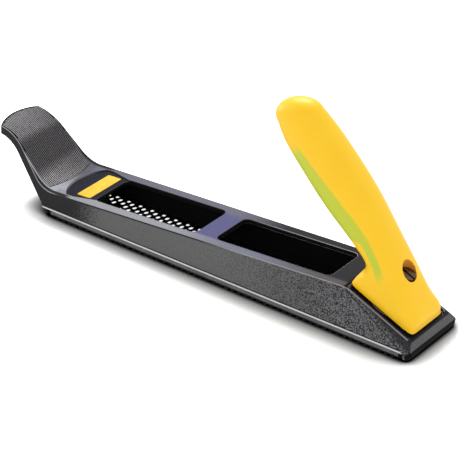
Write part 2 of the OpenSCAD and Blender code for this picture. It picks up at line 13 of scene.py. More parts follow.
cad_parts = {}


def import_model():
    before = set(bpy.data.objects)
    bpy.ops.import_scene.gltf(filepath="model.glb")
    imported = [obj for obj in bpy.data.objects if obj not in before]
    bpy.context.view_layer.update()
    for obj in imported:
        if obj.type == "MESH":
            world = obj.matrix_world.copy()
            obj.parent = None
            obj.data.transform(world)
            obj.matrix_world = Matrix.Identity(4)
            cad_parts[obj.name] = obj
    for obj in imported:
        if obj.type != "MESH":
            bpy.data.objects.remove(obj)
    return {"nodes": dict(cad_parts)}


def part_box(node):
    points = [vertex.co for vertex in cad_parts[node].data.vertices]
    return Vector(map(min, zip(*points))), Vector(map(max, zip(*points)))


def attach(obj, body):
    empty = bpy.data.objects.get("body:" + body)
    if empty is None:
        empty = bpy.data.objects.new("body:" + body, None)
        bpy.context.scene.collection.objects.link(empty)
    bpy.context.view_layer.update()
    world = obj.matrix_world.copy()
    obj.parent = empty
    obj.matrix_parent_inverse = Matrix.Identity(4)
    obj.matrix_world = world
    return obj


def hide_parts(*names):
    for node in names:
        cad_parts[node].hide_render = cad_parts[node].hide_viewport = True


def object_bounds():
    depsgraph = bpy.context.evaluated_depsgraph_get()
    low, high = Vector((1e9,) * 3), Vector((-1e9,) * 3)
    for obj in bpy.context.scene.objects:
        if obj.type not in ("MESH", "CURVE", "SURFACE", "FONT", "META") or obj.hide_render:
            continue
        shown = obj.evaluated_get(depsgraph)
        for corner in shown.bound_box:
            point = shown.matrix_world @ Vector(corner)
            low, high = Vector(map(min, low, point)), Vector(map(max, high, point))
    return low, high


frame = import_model()
CAD_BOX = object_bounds()
NODES = frame["nodes"]
MM = 0.001

# Casting
BODY_L = 261.0
BODY_W = 49.0
WALL = 3.0
SIDE_DRAFT = math.radians(11.3)
LEDGE_Z = 5.0
BEAD_OUT = 0.4
BEAD_TOP = 5.95
BEAD_CHAMFER = 0.15
GROOVE_Z = 6.1
GROOVE_D = 0.2
GROOVE_TOP = 6.7
TOP_Z = 15.4
TOP_RISE = math.radians(3.7)
HEEL_R = 4.0
HEEL_FACE_H = 0.2
HEEL_LEAN = 2.0
NOSE_X = 0.4
CHANNEL_X = 12.0
CHANNEL_END = BODY_L - 14.0
BOSS_R = 9.0
BOSS_SPAN = (-13.5, 20.0)
EDGE_R = 0.34

# Handle seat
SEAT_SLOPE = math.radians(23.7)
SEAT_RUN = 43.8
SEAT_FROM_HEEL = 25.8
PAD_R = 14.0
FOOT_LIFT = 0.2
TROUGH_D = 2.0
SEAT_INSET = 0.6
RIM_W = 1.2
FRONT_RIM_W = 1.5
TROUGH_CORNER = 2.0
BREAK_R = 14.0

# Thumb rest
THUMB_SLOPE = math.radians(48.0)
THUMB_IN_R = 17.0
THUMB_STRAIGHT = 18.7
THUMB_OUT_R = 27.0
LIP_SLOPE = math.radians(6.0)
LIP_L = 6.5
THUMB_T = 4.7
LIP_R = 29.5
HOLLOW_X = 6.0
RIB_N = 29
RIB_PITCH = 1.256
RIB_W = 0.44
RIB_H = 0.27
RIB_MARGIN = 1.2
RIB_END_X = 3.2
RIB_END_R = 60.0
RIB_STEP = 0.8
RIB_SECTION = ((-0.5, -0.25), (-0.42, 0.35), (-0.2, 0.88), (0.0, 1.0), (0.2, 0.88), (0.42, 0.35),
               (0.5, -0.25))

# Windows and label
WINDOW_X = 32.5
FRONT_WINDOW = (76.0, 30.6)
BRIDGE_L = 13.6
REAR_WINDOW = (80.0, 29.0)
WINDOW_R = 4.0
RECESS_R = 26.0
RECESS_W = 37.0
RECESS_X = 6.2
RECESS_D = 0.8
LABEL_L = 29.0
LABEL_W = 10.0
LABEL_T = 0.4
LABEL_FROM_WINDOW = 4.0
LABEL_R = 0.8
LABEL_EDGE_R = 0.12

# Rasp blade
BLADE_X = 3.0
BLADE_L = 254.0
BLADE_W = 48.0
BLADE_T = 0.8
BLADE_R = 5.0
BLADE_GAP = 0.3
FOLD_OUT_R = 1.3
FOLD_IN_R = 0.5
TOOTH_H = 0.8
FLANGE_TOP = 4.7
HOLE_PITCH = 9.06
ROW_PITCH = 2.14
ROW_SHIFT = 3.8
HOLE_L = 3.4
HOLE_W = 2.3
HOLE_FLARE = 0.4
BLADE_END = 7.0
FRONT_SLOT = (20.6, 27.2)
REAR_SLOT = (248.6, 252.0)
SLOT_HALF = 5.5
SLOT_R = 0.6
TOOTH_L = 1.5
TOOTH_W = 1.8
TOOTH_DROP = 0.62
EDGE_TEETH = 54
EDGE_TOOTH = (1.25, 1.2, 1.3)
EDGE_TOOTH_IN = 1.0

# Handle
FOOT_H = 15.3
GRIP_H = 13.2
NECK_H = 22.3
TIP_L = 10.0
BORE_FLOOR = 12.8
COUNTERBORE_R = 5.1
BUSH_R = 4.55
MOUTH_R = 0.35

# Chamfer under the foot: how far each ring lies inside the foot's outline and above its underside
FOOT_CHAMFER = ((0.7, 0.0), (0.22, 0.12), (0.0, 0.5))

# Sections of the handle from foot to tip, in the seat's frame: the ends of its middle line (x, z, x, z),
# half its width, and the power of its rounding
SECTIONS = [
    (-21.5, 0.0, 23.4, 0.0, FOOT_H, 12.0),
    (-21.5, 2.6, 21.6, 5.6, FOOT_H - 0.3, 8.0),
    (-21.3, 5.4, 16.0, 10.0, FOOT_H - 1.1, 4.4),
    (-20.8, 10.1, 8.5, 15.5, GRIP_H + 0.3, 3.4),
    (-25.0, NECK_H - 7.3, -0.5, NECK_H, GRIP_H - 0.2, 2.9),
    (-39.5, NECK_H - 3.3, -17.0, NECK_H + 11.2, GRIP_H - 0.2, 2.6),
    (-58.0, NECK_H + 1.7, -35.0, NECK_H + 22.9, GRIP_H, 2.5),
    (-77.0, NECK_H + 9.3, -55.7, NECK_H + 33.1, GRIP_H, 2.4),
    (-95.5, NECK_H + 17.5, -74.3, NECK_H + 41.0, GRIP_H - 0.8, 2.3),
    (-106.5, NECK_H + 24.9, -87.1, NECK_H + 45.7, GRIP_H - 2.7, 2.2),
]

# Tension screw
TENSION_Z = 8.8
TENSION_BORE_X = 4.5
SPOT_FACE_R = 5.15
TENSION_HOLE_R = 2.8

# How far a cut runs on outside the part
RUN_OUT = 60.0

# Tones of the paint, and of the light and shade painted onto it
# Painted shade: the sides and the shoulders of the toe, darker than the rest of the casting
TOE_SHADE = (0.010, 0.010, 0.011)
# The side wall's paint, with painted light that makes it lighter towards the heel
SIDE_MID = (0.108, 0.109, 0.109)
SIDE_REAR = (0.132, 0.132, 0.132)
SIDE_HEEL = (0.165, 0.163, 0.168)
# Painted shade on the flank beside the seat
FLANK_SHADE = (0.034, 0.033, 0.038)
# Specks in the paint
SIDE_SPECK = (0.010, 0.010, 0.014)
# Painted sheen and shade on the flat top: pale and lavender on the near rail, violet on the bridge, dark
# towards the heel
NEAR_PALE = (0.270, 0.275, 0.300)
NEAR_LAVENDER = (0.160, 0.168, 0.220)
NEAR_GREY = (0.085, 0.085, 0.095)
FAR_PALE = (0.130, 0.127, 0.168)
BRIDGE_VIOLET = (0.088, 0.086, 0.205)
TOP_DARK = (0.010, 0.010, 0.014)
# Painted shade between the ribs
REST_GROOVE = (0.004, 0.004, 0.005)
# Painted sheen on the land round the ribs, paler at the near side
LAND_NEAR = (0.36, 0.37, 0.42)
LAND_FAR = (0.10, 0.10, 0.125)
# Painted light and shade on the ribs: pale where they face up, grey where they face away
RIB_LIT = (0.70, 0.67, 0.70)
RIB_SHADED = (0.20, 0.19, 0.20)
RIB_SPECK = (0.12, 0.12, 0.13)
# Painted highlights and shade on the edges
ARRIS_HIGHLIGHT = (0.30, 0.27, 0.29)
ARRIS_DARK = (0.010, 0.010, 0.012)
# Painted highlight along the bead
BEAD_HIGHLIGHT = (0.72, 0.72, 0.73)

# Where the tones and the painted light and shade change along the casting, from and to, in millimetres
# from the toe corner
SHOULDER_END = (20, 14)
LAND_END = (20, 80)
SIDE_TOE_END = (24, 46)
SIDE_MID_END = (80, 170)
SIDE_HEEL_START = (185, 225)
SIDE_SPECKS = (95, 215)
TOP_LINE_END = (115, 140)
NEAR_PALE_END = (85, 135)
NEAR_GREY_START = (145, 200)
MIDDLE_DARK_START = (135, 190)
FAR_DARK_START = (115, 155)
ARRIS_START = (4, 12)
ARRIS_END = (110, 150)
ARRIS_HEEL = (BODY_L - 4.5, BODY_L - 3.5)
# Where the ribs are painted lit, in the hollow and at the lip
HOLLOW_LIT_END = (-4, -11)
LIP_LIT_START = (-28, -21)
LIP_SHADE = (-18, -28)

# Where they change across it, in millimetres from the middle
NEAR_RAIL = (-16.5, -13.5)
FAR_RAIL = (10.0, 16.0)
LAND_SIDES = (-14, 9)
RIB_SIDES = (-12, 16)
SHOULDER_Y = (19.0, 19.8)

# Painted shade on the handle, a green band: it starts high on the near flank and runs down to the foot
SHADE_BAND_START = (179.0, 0.0, 99.0)
SHADE_BAND_WAY = (44.0, 0.0, -37.0)
SHADE_BAND_BEND_AT = 45.0
SHADE_BAND_BEND = 0.00625
SHADE_BAND_W = 6.5
SHADE_BAND_WIDENS_BELOW = 60.0
SHADE_BAND_ENDS = ((-6.0, 4.0), (86.0, 76.0))

TOE_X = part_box("body_casting")[1].x - BODY_L * MM


def at(x, y, z):
    """A point measured from the toe corner in millimetres, in the frame."""
    return Vector((TOE_X + x * MM, y * MM, z * MM))


def top_at(x):
    return TOP_Z + x * math.tan(TOP_RISE)


def half_w_at(z):
    return BODY_W / 2 - (z - LEDGE_Z) * math.tan(SIDE_DRAFT)


SEAT_TOP_X = BODY_L - HEEL_LEAN - SEAT_RUN
SEAT_X = BODY_L - SEAT_FROM_HEEL
SEAT_Z = top_at(SEAT_TOP_X) - (SEAT_X - SEAT_TOP_X) * math.tan(SEAT_SLOPE)
HEEL_Z = top_at(SEAT_TOP_X) - SEAT_RUN * math.tan(SEAT_SLOPE)
SEAT_HALF = half_w_at(top_at(SEAT_TOP_X)) - SEAT_INSET
SEAT_FRONT = -(SEAT_X - SEAT_TOP_X) / math.cos(SEAT_SLOPE)
SEAT_BACK = (SEAT_FROM_HEEL - HEEL_LEAN) / math.cos(SEAT_SLOPE)
BLADE_FLOOR = TOOTH_H + BLADE_T
SKIRT_OUT = BLADE_W / 2 - BLADE_T - BLADE_GAP
SKIRT_IN = SKIRT_OUT - WALL + 0.5


def seat_at(x):
    return HEEL_Z + (BODY_L - HEEL_LEAN - x) * math.tan(SEAT_SLOPE)


SEAT = Matrix.Translation((SEAT_X, 0, SEAT_Z)) @ Matrix.Rotation(SEAT_SLOPE, 4, "Y") \
    @ Matrix.Translation((0, 0, FOOT_LIFT))


def on_top(x):
    """Frame of the flat top at a distance from the toe corner."""
    return Matrix.Translation((x, 0, top_at(x))) @ Matrix.Rotation(-TOP_RISE, 4, "Y")


# Mesh helpers

def make(name, verts, faces):
    """A mesh object from points in millimetres, with its normals turned outwards."""
    mesh = bpy.data.meshes.new(name)
    mesh.from_pydata([at(*v) for v in verts], [], faces)
    obj = bpy.data.objects.new(name, mesh)
    bpy.context.scene.collection.objects.link(obj)
    bm = bmesh.new()
    bm.from_mesh(mesh)
    bmesh.ops.recalc_face_normals(bm, faces=bm.faces)
    bm.to_mesh(mesh)
    bm.free()
    return obj


def prism_faces(start, n):
    """Faces of a prism whose lower ring starts at a point's number, with n points to a ring."""
    lower, upper = tuple(range(start, start + n)), tuple(range(start + n, start + 2 * n))
    sides = [(lower[i - 1], lower[i], upper[i], upper[i - 1]) for i in (*range(1, n), 0)]
    return [lower[::-1], upper] + sides


def prism(name, outline, low, high, place):
    """A closed prism: place(a, b, t) puts the outline's point (a, b) at depth t."""
    n = len(outline)
    verts = [place(a, b, low) for a, b in outline] + [place(a, b, high) for a, b in outline]
    return make(name, verts, prism_faces(0, n))


def along_x(a, b, t):
    return (t, a, b)


def along_y(a, b, t):
    return (a, t, b)


def along_z(a, b, t):
    return (a, b, t)


def placed(matrix):
    """Like along_z, in a frame of its own."""
    return lambda a, b, t: tuple(matrix @ Vector((a, b, t)))


def circle(cx, cy, r, steps=64):
    return [(cx + r * math.cos(2 * math.pi * i / steps), cy + r * math.sin(2 * math.pi * i / steps))
            for i in range(steps)]


def round_rect(x0, y0, x1, y1, r, steps=10):
    """Outline of a rectangle with round corners, counter-clockwise."""
    centres = ((x1 - r, y1 - r), (x0 + r, y1 - r), (x0 + r, y0 + r), (x1 - r, y0 + r))
    points = []
    for quarter, (cx, cy) in enumerate(centres):
        for i in range(steps + 1):
            a = math.pi / 2 * (quarter + i / steps)
            points.append((cx + r * math.cos(a), cy + r * math.sin(a)))
    return points


def combine(obj, tool, operation):
    """Boolean of obj with tool, which is used up."""
    mod = obj.modifiers.new("cut", "BOOLEAN")
    mod.object = tool
    mod.operation = operation
    mod.solver = "MANIFOLD"
    apply_modifiers(obj)
    bpy.data.objects.remove(tool)
    return obj


def apply_modifiers(obj):
    graph = bpy.context.evaluated_depsgraph_get()
    mesh = bpy.data.meshes.new_from_object(obj.evaluated_get(graph))
    obj.modifiers.clear()
    obj.data = mesh


def paint(obj, *finishes):
    """Gives a piece its materials, in this order."""
    obj.data.materials.clear()
    for finish in finishes:
        obj.data.materials.append(FINISH[finish])


def clean(obj, distance=0.004):
    """Joins points that lie together and drops slivers."""
    bm = bmesh.new()
    bm.from_mesh(obj.data)
    bmesh.ops.remove_doubles(bm, verts=bm.verts, dist=distance * MM)
    bmesh.ops.dissolve_degenerate(bm, edges=bm.edges, dist=distance * MM)
    bmesh.ops.recalc_face_normals(bm, faces=bm.faces)
    bm.to_mesh(obj.data)
    bm.free()


def bevel(obj, width, segments, angle, material=-1):
    mod = obj.modifiers.new("edges", "BEVEL")
    mod.width = width * MM
    mod.segments = segments
    mod.limit_method = "ANGLE"
    mod.angle_limit = math.radians(angle)
    mod.material = material
    mod.use_clamp_overlap = False
    mod.miter_outer = "MITER_ARC"
    apply_modifiers(obj)


def keep_in_box(obj):
    """Moves what a bevel pushed past the CAD part's box back onto it."""
    low, high = CAD_BOX
    for vertex in obj.data.vertices:
        vertex.co = [min(max(value, a), b) for value, a, b in zip(vertex.co, low, high)]


def smooth(obj, angle=32):
    obj.data.shade_smooth()
    obj.data.set_sharp_from_angle(angle=math.radians(angle))


def weigh_normals(obj):
    mod = obj.modifiers.new("normals", "WEIGHTED_NORMAL")
    mod.keep_sharp = True
    apply_modifiers(obj)


# Materials

class Nodes:
    """Short calls for building a material's nodes."""

    def __init__(self, name):
        self.mat = bpy.data.materials.new(name)
        self.mat.use_nodes = True
        self.tree = self.mat.node_tree
        self.shader = self.tree.nodes["Principled BSDF"]
        self.place = self.add("ShaderNodeTexCoord").outputs["Object"]
        axes = self.add("ShaderNodeSeparateXYZ")
        self.link(self.place, axes.inputs["Vector"])
        self.x, self.y, self.z = axes.outputs

    def add(self, kind, **values):
        node = self.tree.nodes.new(kind)
        for key, value in values.items():
            setattr(node, key, value)
        return node

    def link(self, a, b):
        self.tree.links.new(a, b)

    def noise(self, size, detail=3.0, rough=0.55, stretch=(1, 1, 1)):
        """Noise whose grains are about size millimetres, from 0 to 1."""
        mapping = self.add("ShaderNodeMapping")
        mapping.inputs["Scale"].default_value = stretch
        self.link(self.place, mapping.inputs["Vector"])
        node = self.add("ShaderNodeTexNoise")
        node.inputs["Scale"].default_value = 1 / (size * MM)
        node.inputs["Detail"].default_value = detail
        node.inputs["Roughness"].default_value = rough
        self.link(mapping.outputs["Vector"], node.inputs["Vector"])
        return node.outputs["Fac"]

    def ramp(self, value, low, high, out_low=0.0, out_high=1.0, soft=True):
        node = self.add("ShaderNodeMapRange")
        node.interpolation_type = "SMOOTHSTEP" if soft else "LINEAR"
        node.inputs["From Min"].default_value = low
        node.inputs["From Max"].default_value = high
        node.inputs["To Min"].default_value = out_low
        node.inputs["To Max"].default_value = out_high
        self.link(value, node.inputs["Value"])
        return node.outputs["Result"]

    def math(self, operation, a, b):
        node = self.add("ShaderNodeMath", operation=operation)
        for socket, value in zip(node.inputs, (a, b)):
            if isinstance(value, (int, float)):
                socket.default_value = value
            else:
                self.link(value, socket)
        return node.outputs[0]

    def mix(self, factor, a, b):
        node = self.add("ShaderNodeMix", data_type="RGBA")
        self.link(factor, node.inputs["Factor"])
        for socket, value in ((node.inputs[6], a), (node.inputs[7], b)):
            if isinstance(value, tuple):
                socket.default_value = (*value, 1)
            else:
                self.link(value, socket)
        return node.outputs[2]

    def times(self, a, b):
        return self.math("MULTIPLY", a, b)

    def plus(self, a, b):
        return self.math("ADD", a, b)

    def minus(self, a, b):
        return self.math("SUBTRACT", a, b)

    def larger(self, a, b):
        return self.math("MAXIMUM", a, b)

    def from_middle(self):
        """Distance from the lengthwise middle plane, in metres."""
        return self.math("ABSOLUTE", self.y, 0)

    def along(self, span, low=0.0, high=1.0):
        """Ramp over a span measured in millimetres from the toe corner."""
        return self.ramp(self.x, from_toe(span[0]), from_toe(span[1]), low, high)

    def across(self, span, low=0.0, high=1.0):
        """Ramp over a span measured in millimetres from the middle, to the far side."""
        return self.ramp(self.y, span[0] * MM, span[1] * MM, low, high)

    def bump(self, height, depth, strength=1.0):
        """Relief of about depth millimetres."""
        node = self.add("ShaderNodeBump")
        node.inputs["Distance"].default_value = depth * MM
        node.inputs["Strength"].default_value = strength
        self.link(height, node.inputs["Height"])
        self.link(node.outputs["Normal"], self.shader.inputs["Normal"])

    def set(self, **values):
        names = {"base": "Base Color", "metal": "Metallic", "rough": "Roughness",
                 "spec": "Specular IOR Level", "coat": "Coat Weight", "coat_rough": "Coat Roughness"}
        for key, value in values.items():
            socket = self.shader.inputs[names[key]]
            if isinstance(value, tuple):
                socket.default_value = (*value, 1)
            elif isinstance(value, (int, float)):
                socket.default_value = value
            else:
                self.link(value, socket)


def from_toe(x):
    """X in the frame, in metres, of a place measured from the toe corner."""
    return TOE_X + x * MM


def speckled(m, tone, speck, amount, grain=0.8, tint=0.25, soft=0.05):
    """A tone with fine specks of another, both with a slight play of hue. Gives colour and grains."""
    grains = m.noise(grain, 4, 0.7)
    hue = m.add("ShaderNodeTexNoise")
    hue.inputs["Scale"].default_value = 1 / (grain * 1.6 * MM)
    m.link(m.place, hue.inputs["Vector"])
    specks = m.ramp(grains, 0.5 + soft, 0.5 - soft)
    if not isinstance(amount, (int, float)) or amount < 1:
        specks = m.times(specks, amount)
    base = m.mix(specks, tone, speck)
    play = m.add("ShaderNodeMix", data_type="RGBA", blend_type="OVERLAY")
    play.inputs["Factor"].default_value = tint
    m.link(base, play.inputs[6])
    m.link(hue.outputs["Color"], play.inputs[7])
    return play.outputs[2], grains


def coat(name, tone, speck, amount, rough=0.6, grain=0.8, relief=0.05, tint=0.25, spec=0.15):
    """Textured paint: an even tone with specks."""
    m = Nodes(name)
    broad = m.mix(m.ramp(m.noise(22, 2), 0.3, 0.7), tone, tuple(0.88 * c for c in tone))
    base, grains = speckled(m, broad, speck, amount, grain, tint)
    m.set(base=base, rough=m.ramp(grains, 0.3, 0.7, rough - 0.06, rough + 0.08), spec=spec)
    m.bump(grains, relief, 0.6)
    return m.mat


def side_coat():
    """Paint of the side walls, with painted light and shade: dark at the toe, mid grey along and lighter
    towards the heel, darker on the flank and in a line under the top's edge, and speckled to the heel.
    """
    m = Nodes("side_paint_light_and_shade")
    ragged = m.times(m.minus(m.noise(0.9, 4, 0.7), 0.5), 0.06)
    # Painted shade: the wall is dark at the toe, with a ragged edge
    toe = m.ramp(m.plus(m.x, ragged), from_toe(SIDE_TOE_END[0]), from_toe(SIDE_TOE_END[1]))
    # Painted light: the wall grows lighter towards the heel
    tone = m.mix(m.along(SIDE_MID_END), SIDE_MID, SIDE_REAR)
    tone = m.mix(toe, TOE_SHADE, m.mix(m.along(SIDE_HEEL_START), tone, SIDE_HEEL))
    # Painted shade on the flank, inside the line of the drafted wall
    tone = m.mix(m.ramp(wall_depth(m), 0.0, 2.5 * MM), tone, FLANK_SHADE)
    # Painted shade: a dark line just under the top's edge, fading out towards the heel
    rise = m.times(m.minus(m.x, from_toe(0)), math.tan(TOP_RISE))
    from_top = m.minus(rise, m.minus(m.z, TOP_Z * MM))
    top_edge_shade = m.times(m.ramp(from_top, 0.9 * MM, 0.5 * MM), m.along(TOP_LINE_END, 1, 0))
    tone = m.mix(top_edge_shade, tone, ARRIS_DARK)
    heavy = m.times(m.along(SIDE_SPECKS, 0.05, 1.0), toe)
    base, grains = speckled(m, tone, SIDE_SPECK, heavy, 0.85, 0.3, 0.02)
    m.set(base=base, rough=0.55, spec=0.2)
    m.bump(grains, 0.05, 0.5)
    return m.mat


def wall_depth(m):
    """How far a place lies inside the drafted wall, in metres."""
    rise = m.times(m.minus(m.z, LEDGE_Z * MM), math.tan(SIDE_DRAFT))
    return m.minus(m.minus(BODY_W / 2 * MM, rise), m.from_middle())


def shoulder(m):
    """1 on the shoulders at both sides of the toe, which are painted in shade, 0 elsewhere."""
    outside = m.ramp(m.from_middle(), SHOULDER_Y[0] * MM, SHOULDER_Y[1] * MM)
    return m.times(outside, m.along(SHOULDER_END))


def land_tone(m):
    """Tone of the land between the ribs and the recess, with painted sheen that makes it paler at the near
    side.
    """
    return m.mix(m.across(LAND_SIDES), LAND_NEAR, LAND_FAR)


def top_coat():
    """Paint of the flat top, with painted sheen and shade: paler on the near rail than on the far one,
    violet on the bridge, and dark towards the heel.
    """
    m = Nodes("top_paint_and_sheen")
    near = m.mix(m.along(NEAR_PALE_END), NEAR_PALE, NEAR_LAVENDER)
    near = m.mix(m.along(NEAR_GREY_START), near, NEAR_GREY)
    land = m.mix(m.along(LAND_END), land_tone(m), BRIDGE_VIOLET)
    middle = m.mix(m.along(MIDDLE_DARK_START), land, TOP_DARK)
    far = m.mix(m.along(FAR_DARK_START), FAR_PALE, TOP_DARK)
    tone = m.mix(m.across(NEAR_RAIL), near, middle)
    tone = m.mix(m.across(FAR_RAIL), tone, far)
    # Painted shade on the toe's shoulders
    tone = m.mix(shoulder(m), tone, TOE_SHADE)
    base, grains = speckled(m, tone, TOP_DARK, 0.12, 0.8, 0.25)
    m.set(base=base, rough=0.6, spec=0.1)
    m.bump(grains, 0.04, 0.5)
    return m.mat


def rest_coat():
    """Paint of the thumb rest, with painted shade and sheen: near black between the ribs, and pale on the
    land round them.
    """
    m = Nodes("rest_paint_light_and_shade")
    y = m.from_middle()
    end = m.plus(m.x, m.times(m.times(y, y), 0.5 / (RIB_END_R * MM)))
    half = (RIB_N / 2) * RIB_PITCH * MM
    beside = m.ramp(y, half, half + 0.3 * MM)
    behind = m.ramp(end, from_toe(RIB_END_X), from_toe(RIB_END_X + 0.4))
    land = m.larger(beside, behind)
    tone = m.mix(land, REST_GROOVE, land_tone(m))
    # Painted shade on the toe's shoulders
    tone = m.mix(shoulder(m), tone, TOE_SHADE)
    base, grains = speckled(m, tone, REST_GROOVE, m.times(land, 0.15), 0.6, 0.15)
    m.set(base=base, rough=0.6, spec=0.1)
    m.bump(grains, 0.03, 0.5)
    return m.mat


def rib_coat():
    """Ribs of the thumb rest, with painted light and shade: pale in the hollow and at the lip, where they
    face up, and grey on the slope between and on the far side.
    """
    m = Nodes("rib_paint_light_and_shade")
    slope = m.times(m.along(HOLLOW_LIT_END), m.along(LIP_LIT_START))
    grey = m.larger(slope, m.across(RIB_SIDES, 0, 0.62))
    tone = m.mix(m.larger(grey, m.along(LIP_SHADE, 0, 0.35)), RIB_LIT, RIB_SHADED)
    m.set(base=speckled(m, tone, RIB_SPECK, 0.3, 0.8, 0.1)[0], rough=0.5, spec=0.15)
    return m.mat


def arris_light_and_shade():
    """Edges of the casting, with painted highlights and shade: pale along the top's front part, the heel
    and the bead, dark elsewhere.
    """
    m = Nodes("arris_highlights_and_shade")
    y = m.from_middle()
    # Painted highlights on the edges of the top's front part and the heel, painted shade on the others
    front = m.times(m.along(ARRIS_START), m.along(ARRIS_END, 1, 0))
    heel = m.along(ARRIS_HEEL)
    tone = m.mix(m.larger(front, heel), ARRIS_HIGHLIGHT, ARRIS_DARK)
    # Painted shade in the crease beside the seat's rim
    beside_rim = m.ramp(y, (SEAT_HALF + 0.3) * MM, (SEAT_HALF + 0.6) * MM)
    crease = m.times(m.along((SEAT_TOP_X, SEAT_TOP_X + 1)), beside_rim)
    tone = m.mix(crease, tone, FLANK_SHADE)
    # Painted highlight along the bead, and painted shade on the edges below it
    under_top = m.ramp(m.z, BEAD_TOP * MM, (BEAD_TOP - 0.1) * MM)
    bead = m.times(under_top, m.ramp(y, BODY_W / 2 * MM, (BODY_W / 2 + 0.1) * MM))
    low_tone = m.mix(m.times(bead, m.ramp(heel, 0, 1, 1, 0)), ARRIS_DARK, BEAD_HIGHLIGHT)
    tone = m.mix(m.ramp(m.z, 7.5 * MM, 7.0 * MM), tone, low_tone)
    m.set(base=speckled(m, tone, ARRIS_DARK, 0.15, 0.9, 0.1)[0], rough=0.5, spec=0.2)
    return m.mat


def metal(name, tone, rough, grain=0.4, stretch=(1, 1, 1), dirt=0.55):
    """Bare or plated metal, with fine marks along one way and dirt in broad patches."""
    m = Nodes(name)
    marks = m.noise(grain, 4, 0.6, stretch)
    patch = m.ramp(m.noise(9, 3), 0.35, 0.7)
    m.set(base=m.mix(patch, tone, tuple(c * dirt for c in tone)), metal=1.0,
          rough=m.ramp(marks, 0.25, 0.75, rough - 0.07, rough + 0.1))
    m.bump(marks, 0.02, 0.5)
    return m.mat


def handle_plastic():
    """Yellow moulded plastic, with painted shade as a green band along the grip's forward flank."""
    m = Nodes("handle_plastic")
    patch = m.ramp(m.noise(16, 2), 0.3, 0.7)
    yellow = m.mix(patch, (1.0, 0.600, 0.007), (0.99, 0.585, 0.005))
    origin, along = at(*SHADE_BAND_START), Vector(SHADE_BAND_WAY).normalized()
    across = Vector((along.z, 0, -along.x))

    def measure(way):
        """Distance of the point from the shade band's upper end, one way, in millimetres."""
        node = m.add("ShaderNodeVectorMath", operation="DOT_PRODUCT")
        m.link(m.place, node.inputs[0])
        node.inputs[1].default_value = way / MM
        return m.minus(node.outputs["Value"], origin.dot(way) / MM)

    s, v = measure(along), measure(across)
    bend = m.larger(m.minus(s, SHADE_BAND_BEND_AT), 0.0)
    low = m.times(m.times(bend, bend), SHADE_BAND_BEND)
    rough_edge = m.times(m.minus(m.noise(0.8, 3), 0.5), 3.0)
    inner = m.plus(m.minus(v, low), rough_edge)
    widen = m.larger(m.minus(SHADE_BAND_WIDENS_BELOW, s), 0.0)
    outer = m.minus(m.plus(SHADE_BAND_W, widen), inner)
    band = m.times(m.ramp(inner, -0.6, 1.6), m.ramp(outer, -0.5, 1.5))
    ends = m.times(m.ramp(s, *SHADE_BAND_ENDS[0]), m.ramp(s, *SHADE_BAND_ENDS[1]))
    # Painted shade: the band turns the yellow green where the flank gets less light
    shaded_yellow = m.mix(m.times(band, ends), yellow, (0.545, 0.600, 0.025))
    m.set(base=shaded_yellow, rough=0.38, spec=0.4)
    m.bump(m.noise(0.35, 3), 0.008, 0.4)
    return m.mat


def label_foil():
    m = Nodes("label_foil")
    patch = m.ramp(m.noise(3.5, 4), 0.35, 0.72)
    scuffs = m.ramp(m.noise(0.5, 3, 0.6, (1, 0.3, 1)), 0.62, 0.75)
    base = m.mix(patch, (0.93, 0.56, 0.045), (0.80, 0.47, 0.035))
    m.set(base=m.mix(scuffs, base, (0.45, 0.32, 0.06)), rough=0.6, spec=0.15)
    m.bump(m.noise(1.4, 3), 0.03, 0.4)
    return m.mat


# Casting

def rest_curve(steps):
    """The thumb rest's upper side from the flat top to the lip: (x, z, slope) of each point."""
    points = []
    z0 = top_at(HOLLOW_X)
    for i in range(steps + 1):
        a = -TOP_RISE + (THUMB_SLOPE + TOP_RISE) * i / steps
        points.append((HOLLOW_X - THUMB_IN_R * (math.sin(a) + math.sin(TOP_RISE)),
                       z0 + THUMB_IN_R * (math.cos(TOP_RISE) - math.cos(a)), a))
    x1 = points[-1][0] - THUMB_STRAIGHT * math.cos(THUMB_SLOPE)
    z1 = points[-1][1] + THUMB_STRAIGHT * math.sin(THUMB_SLOPE)
    for i in range(steps + 1):
        a = THUMB_SLOPE + (LIP_SLOPE - THUMB_SLOPE) * i / steps
        points.append((x1 + THUMB_OUT_R * (math.sin(a) - math.sin(THUMB_SLOPE)),
                       z1 + THUMB_OUT_R * (math.cos(a) - math.cos(THUMB_SLOPE)), a))
    x2, z2, _ = points[-1]
    points.append((x2 - LIP_L * math.cos(LIP_SLOPE), z2 + LIP_L * math.sin(LIP_SLOPE), LIP_SLOPE))
    return points


REST_STEPS = 18
REST = rest_curve(REST_STEPS)
LIP_X = REST[-1][0]


def moved_out(point, out):
    x, z, a = point
    return (x + out * math.sin(a), z + out * math.cos(a))


def break_arc(steps=8):
    """Round turn from the seat's rim to the flat top."""
    turn = SEAT_SLOPE + TOP_RISE
    reach = BREAK_R * math.tan(turn / 2)
    z = top_at(SEAT_TOP_X)
    start = (SEAT_TOP_X + reach * math.cos(SEAT_SLOPE), z - reach * math.sin(SEAT_SLOPE))
    points = []
    for i in range(steps + 1):
        a = SEAT_SLOPE - turn * i / steps
        points.append((start[0] - BREAK_R * (math.sin(SEAT_SLOPE) - math.sin(a)),
                       start[1] - BREAK_R * (math.cos(SEAT_SLOPE) - math.cos(a))))
    return points


def side_outline():
    under = [moved_out(p, -THUMB_T) for p in REST[:REST_STEPS:-1]]
    return ([(NOSE_X, BLADE_FLOOR), (BODY_L, BLADE_FLOOR), (BODY_L, LEDGE_Z + HEEL_FACE_H),
             (BODY_L - HEEL_LEAN, HEEL_Z)] + break_arc() + [p[:2] for p in REST] + under
            + [(0.0, LEDGE_Z)])


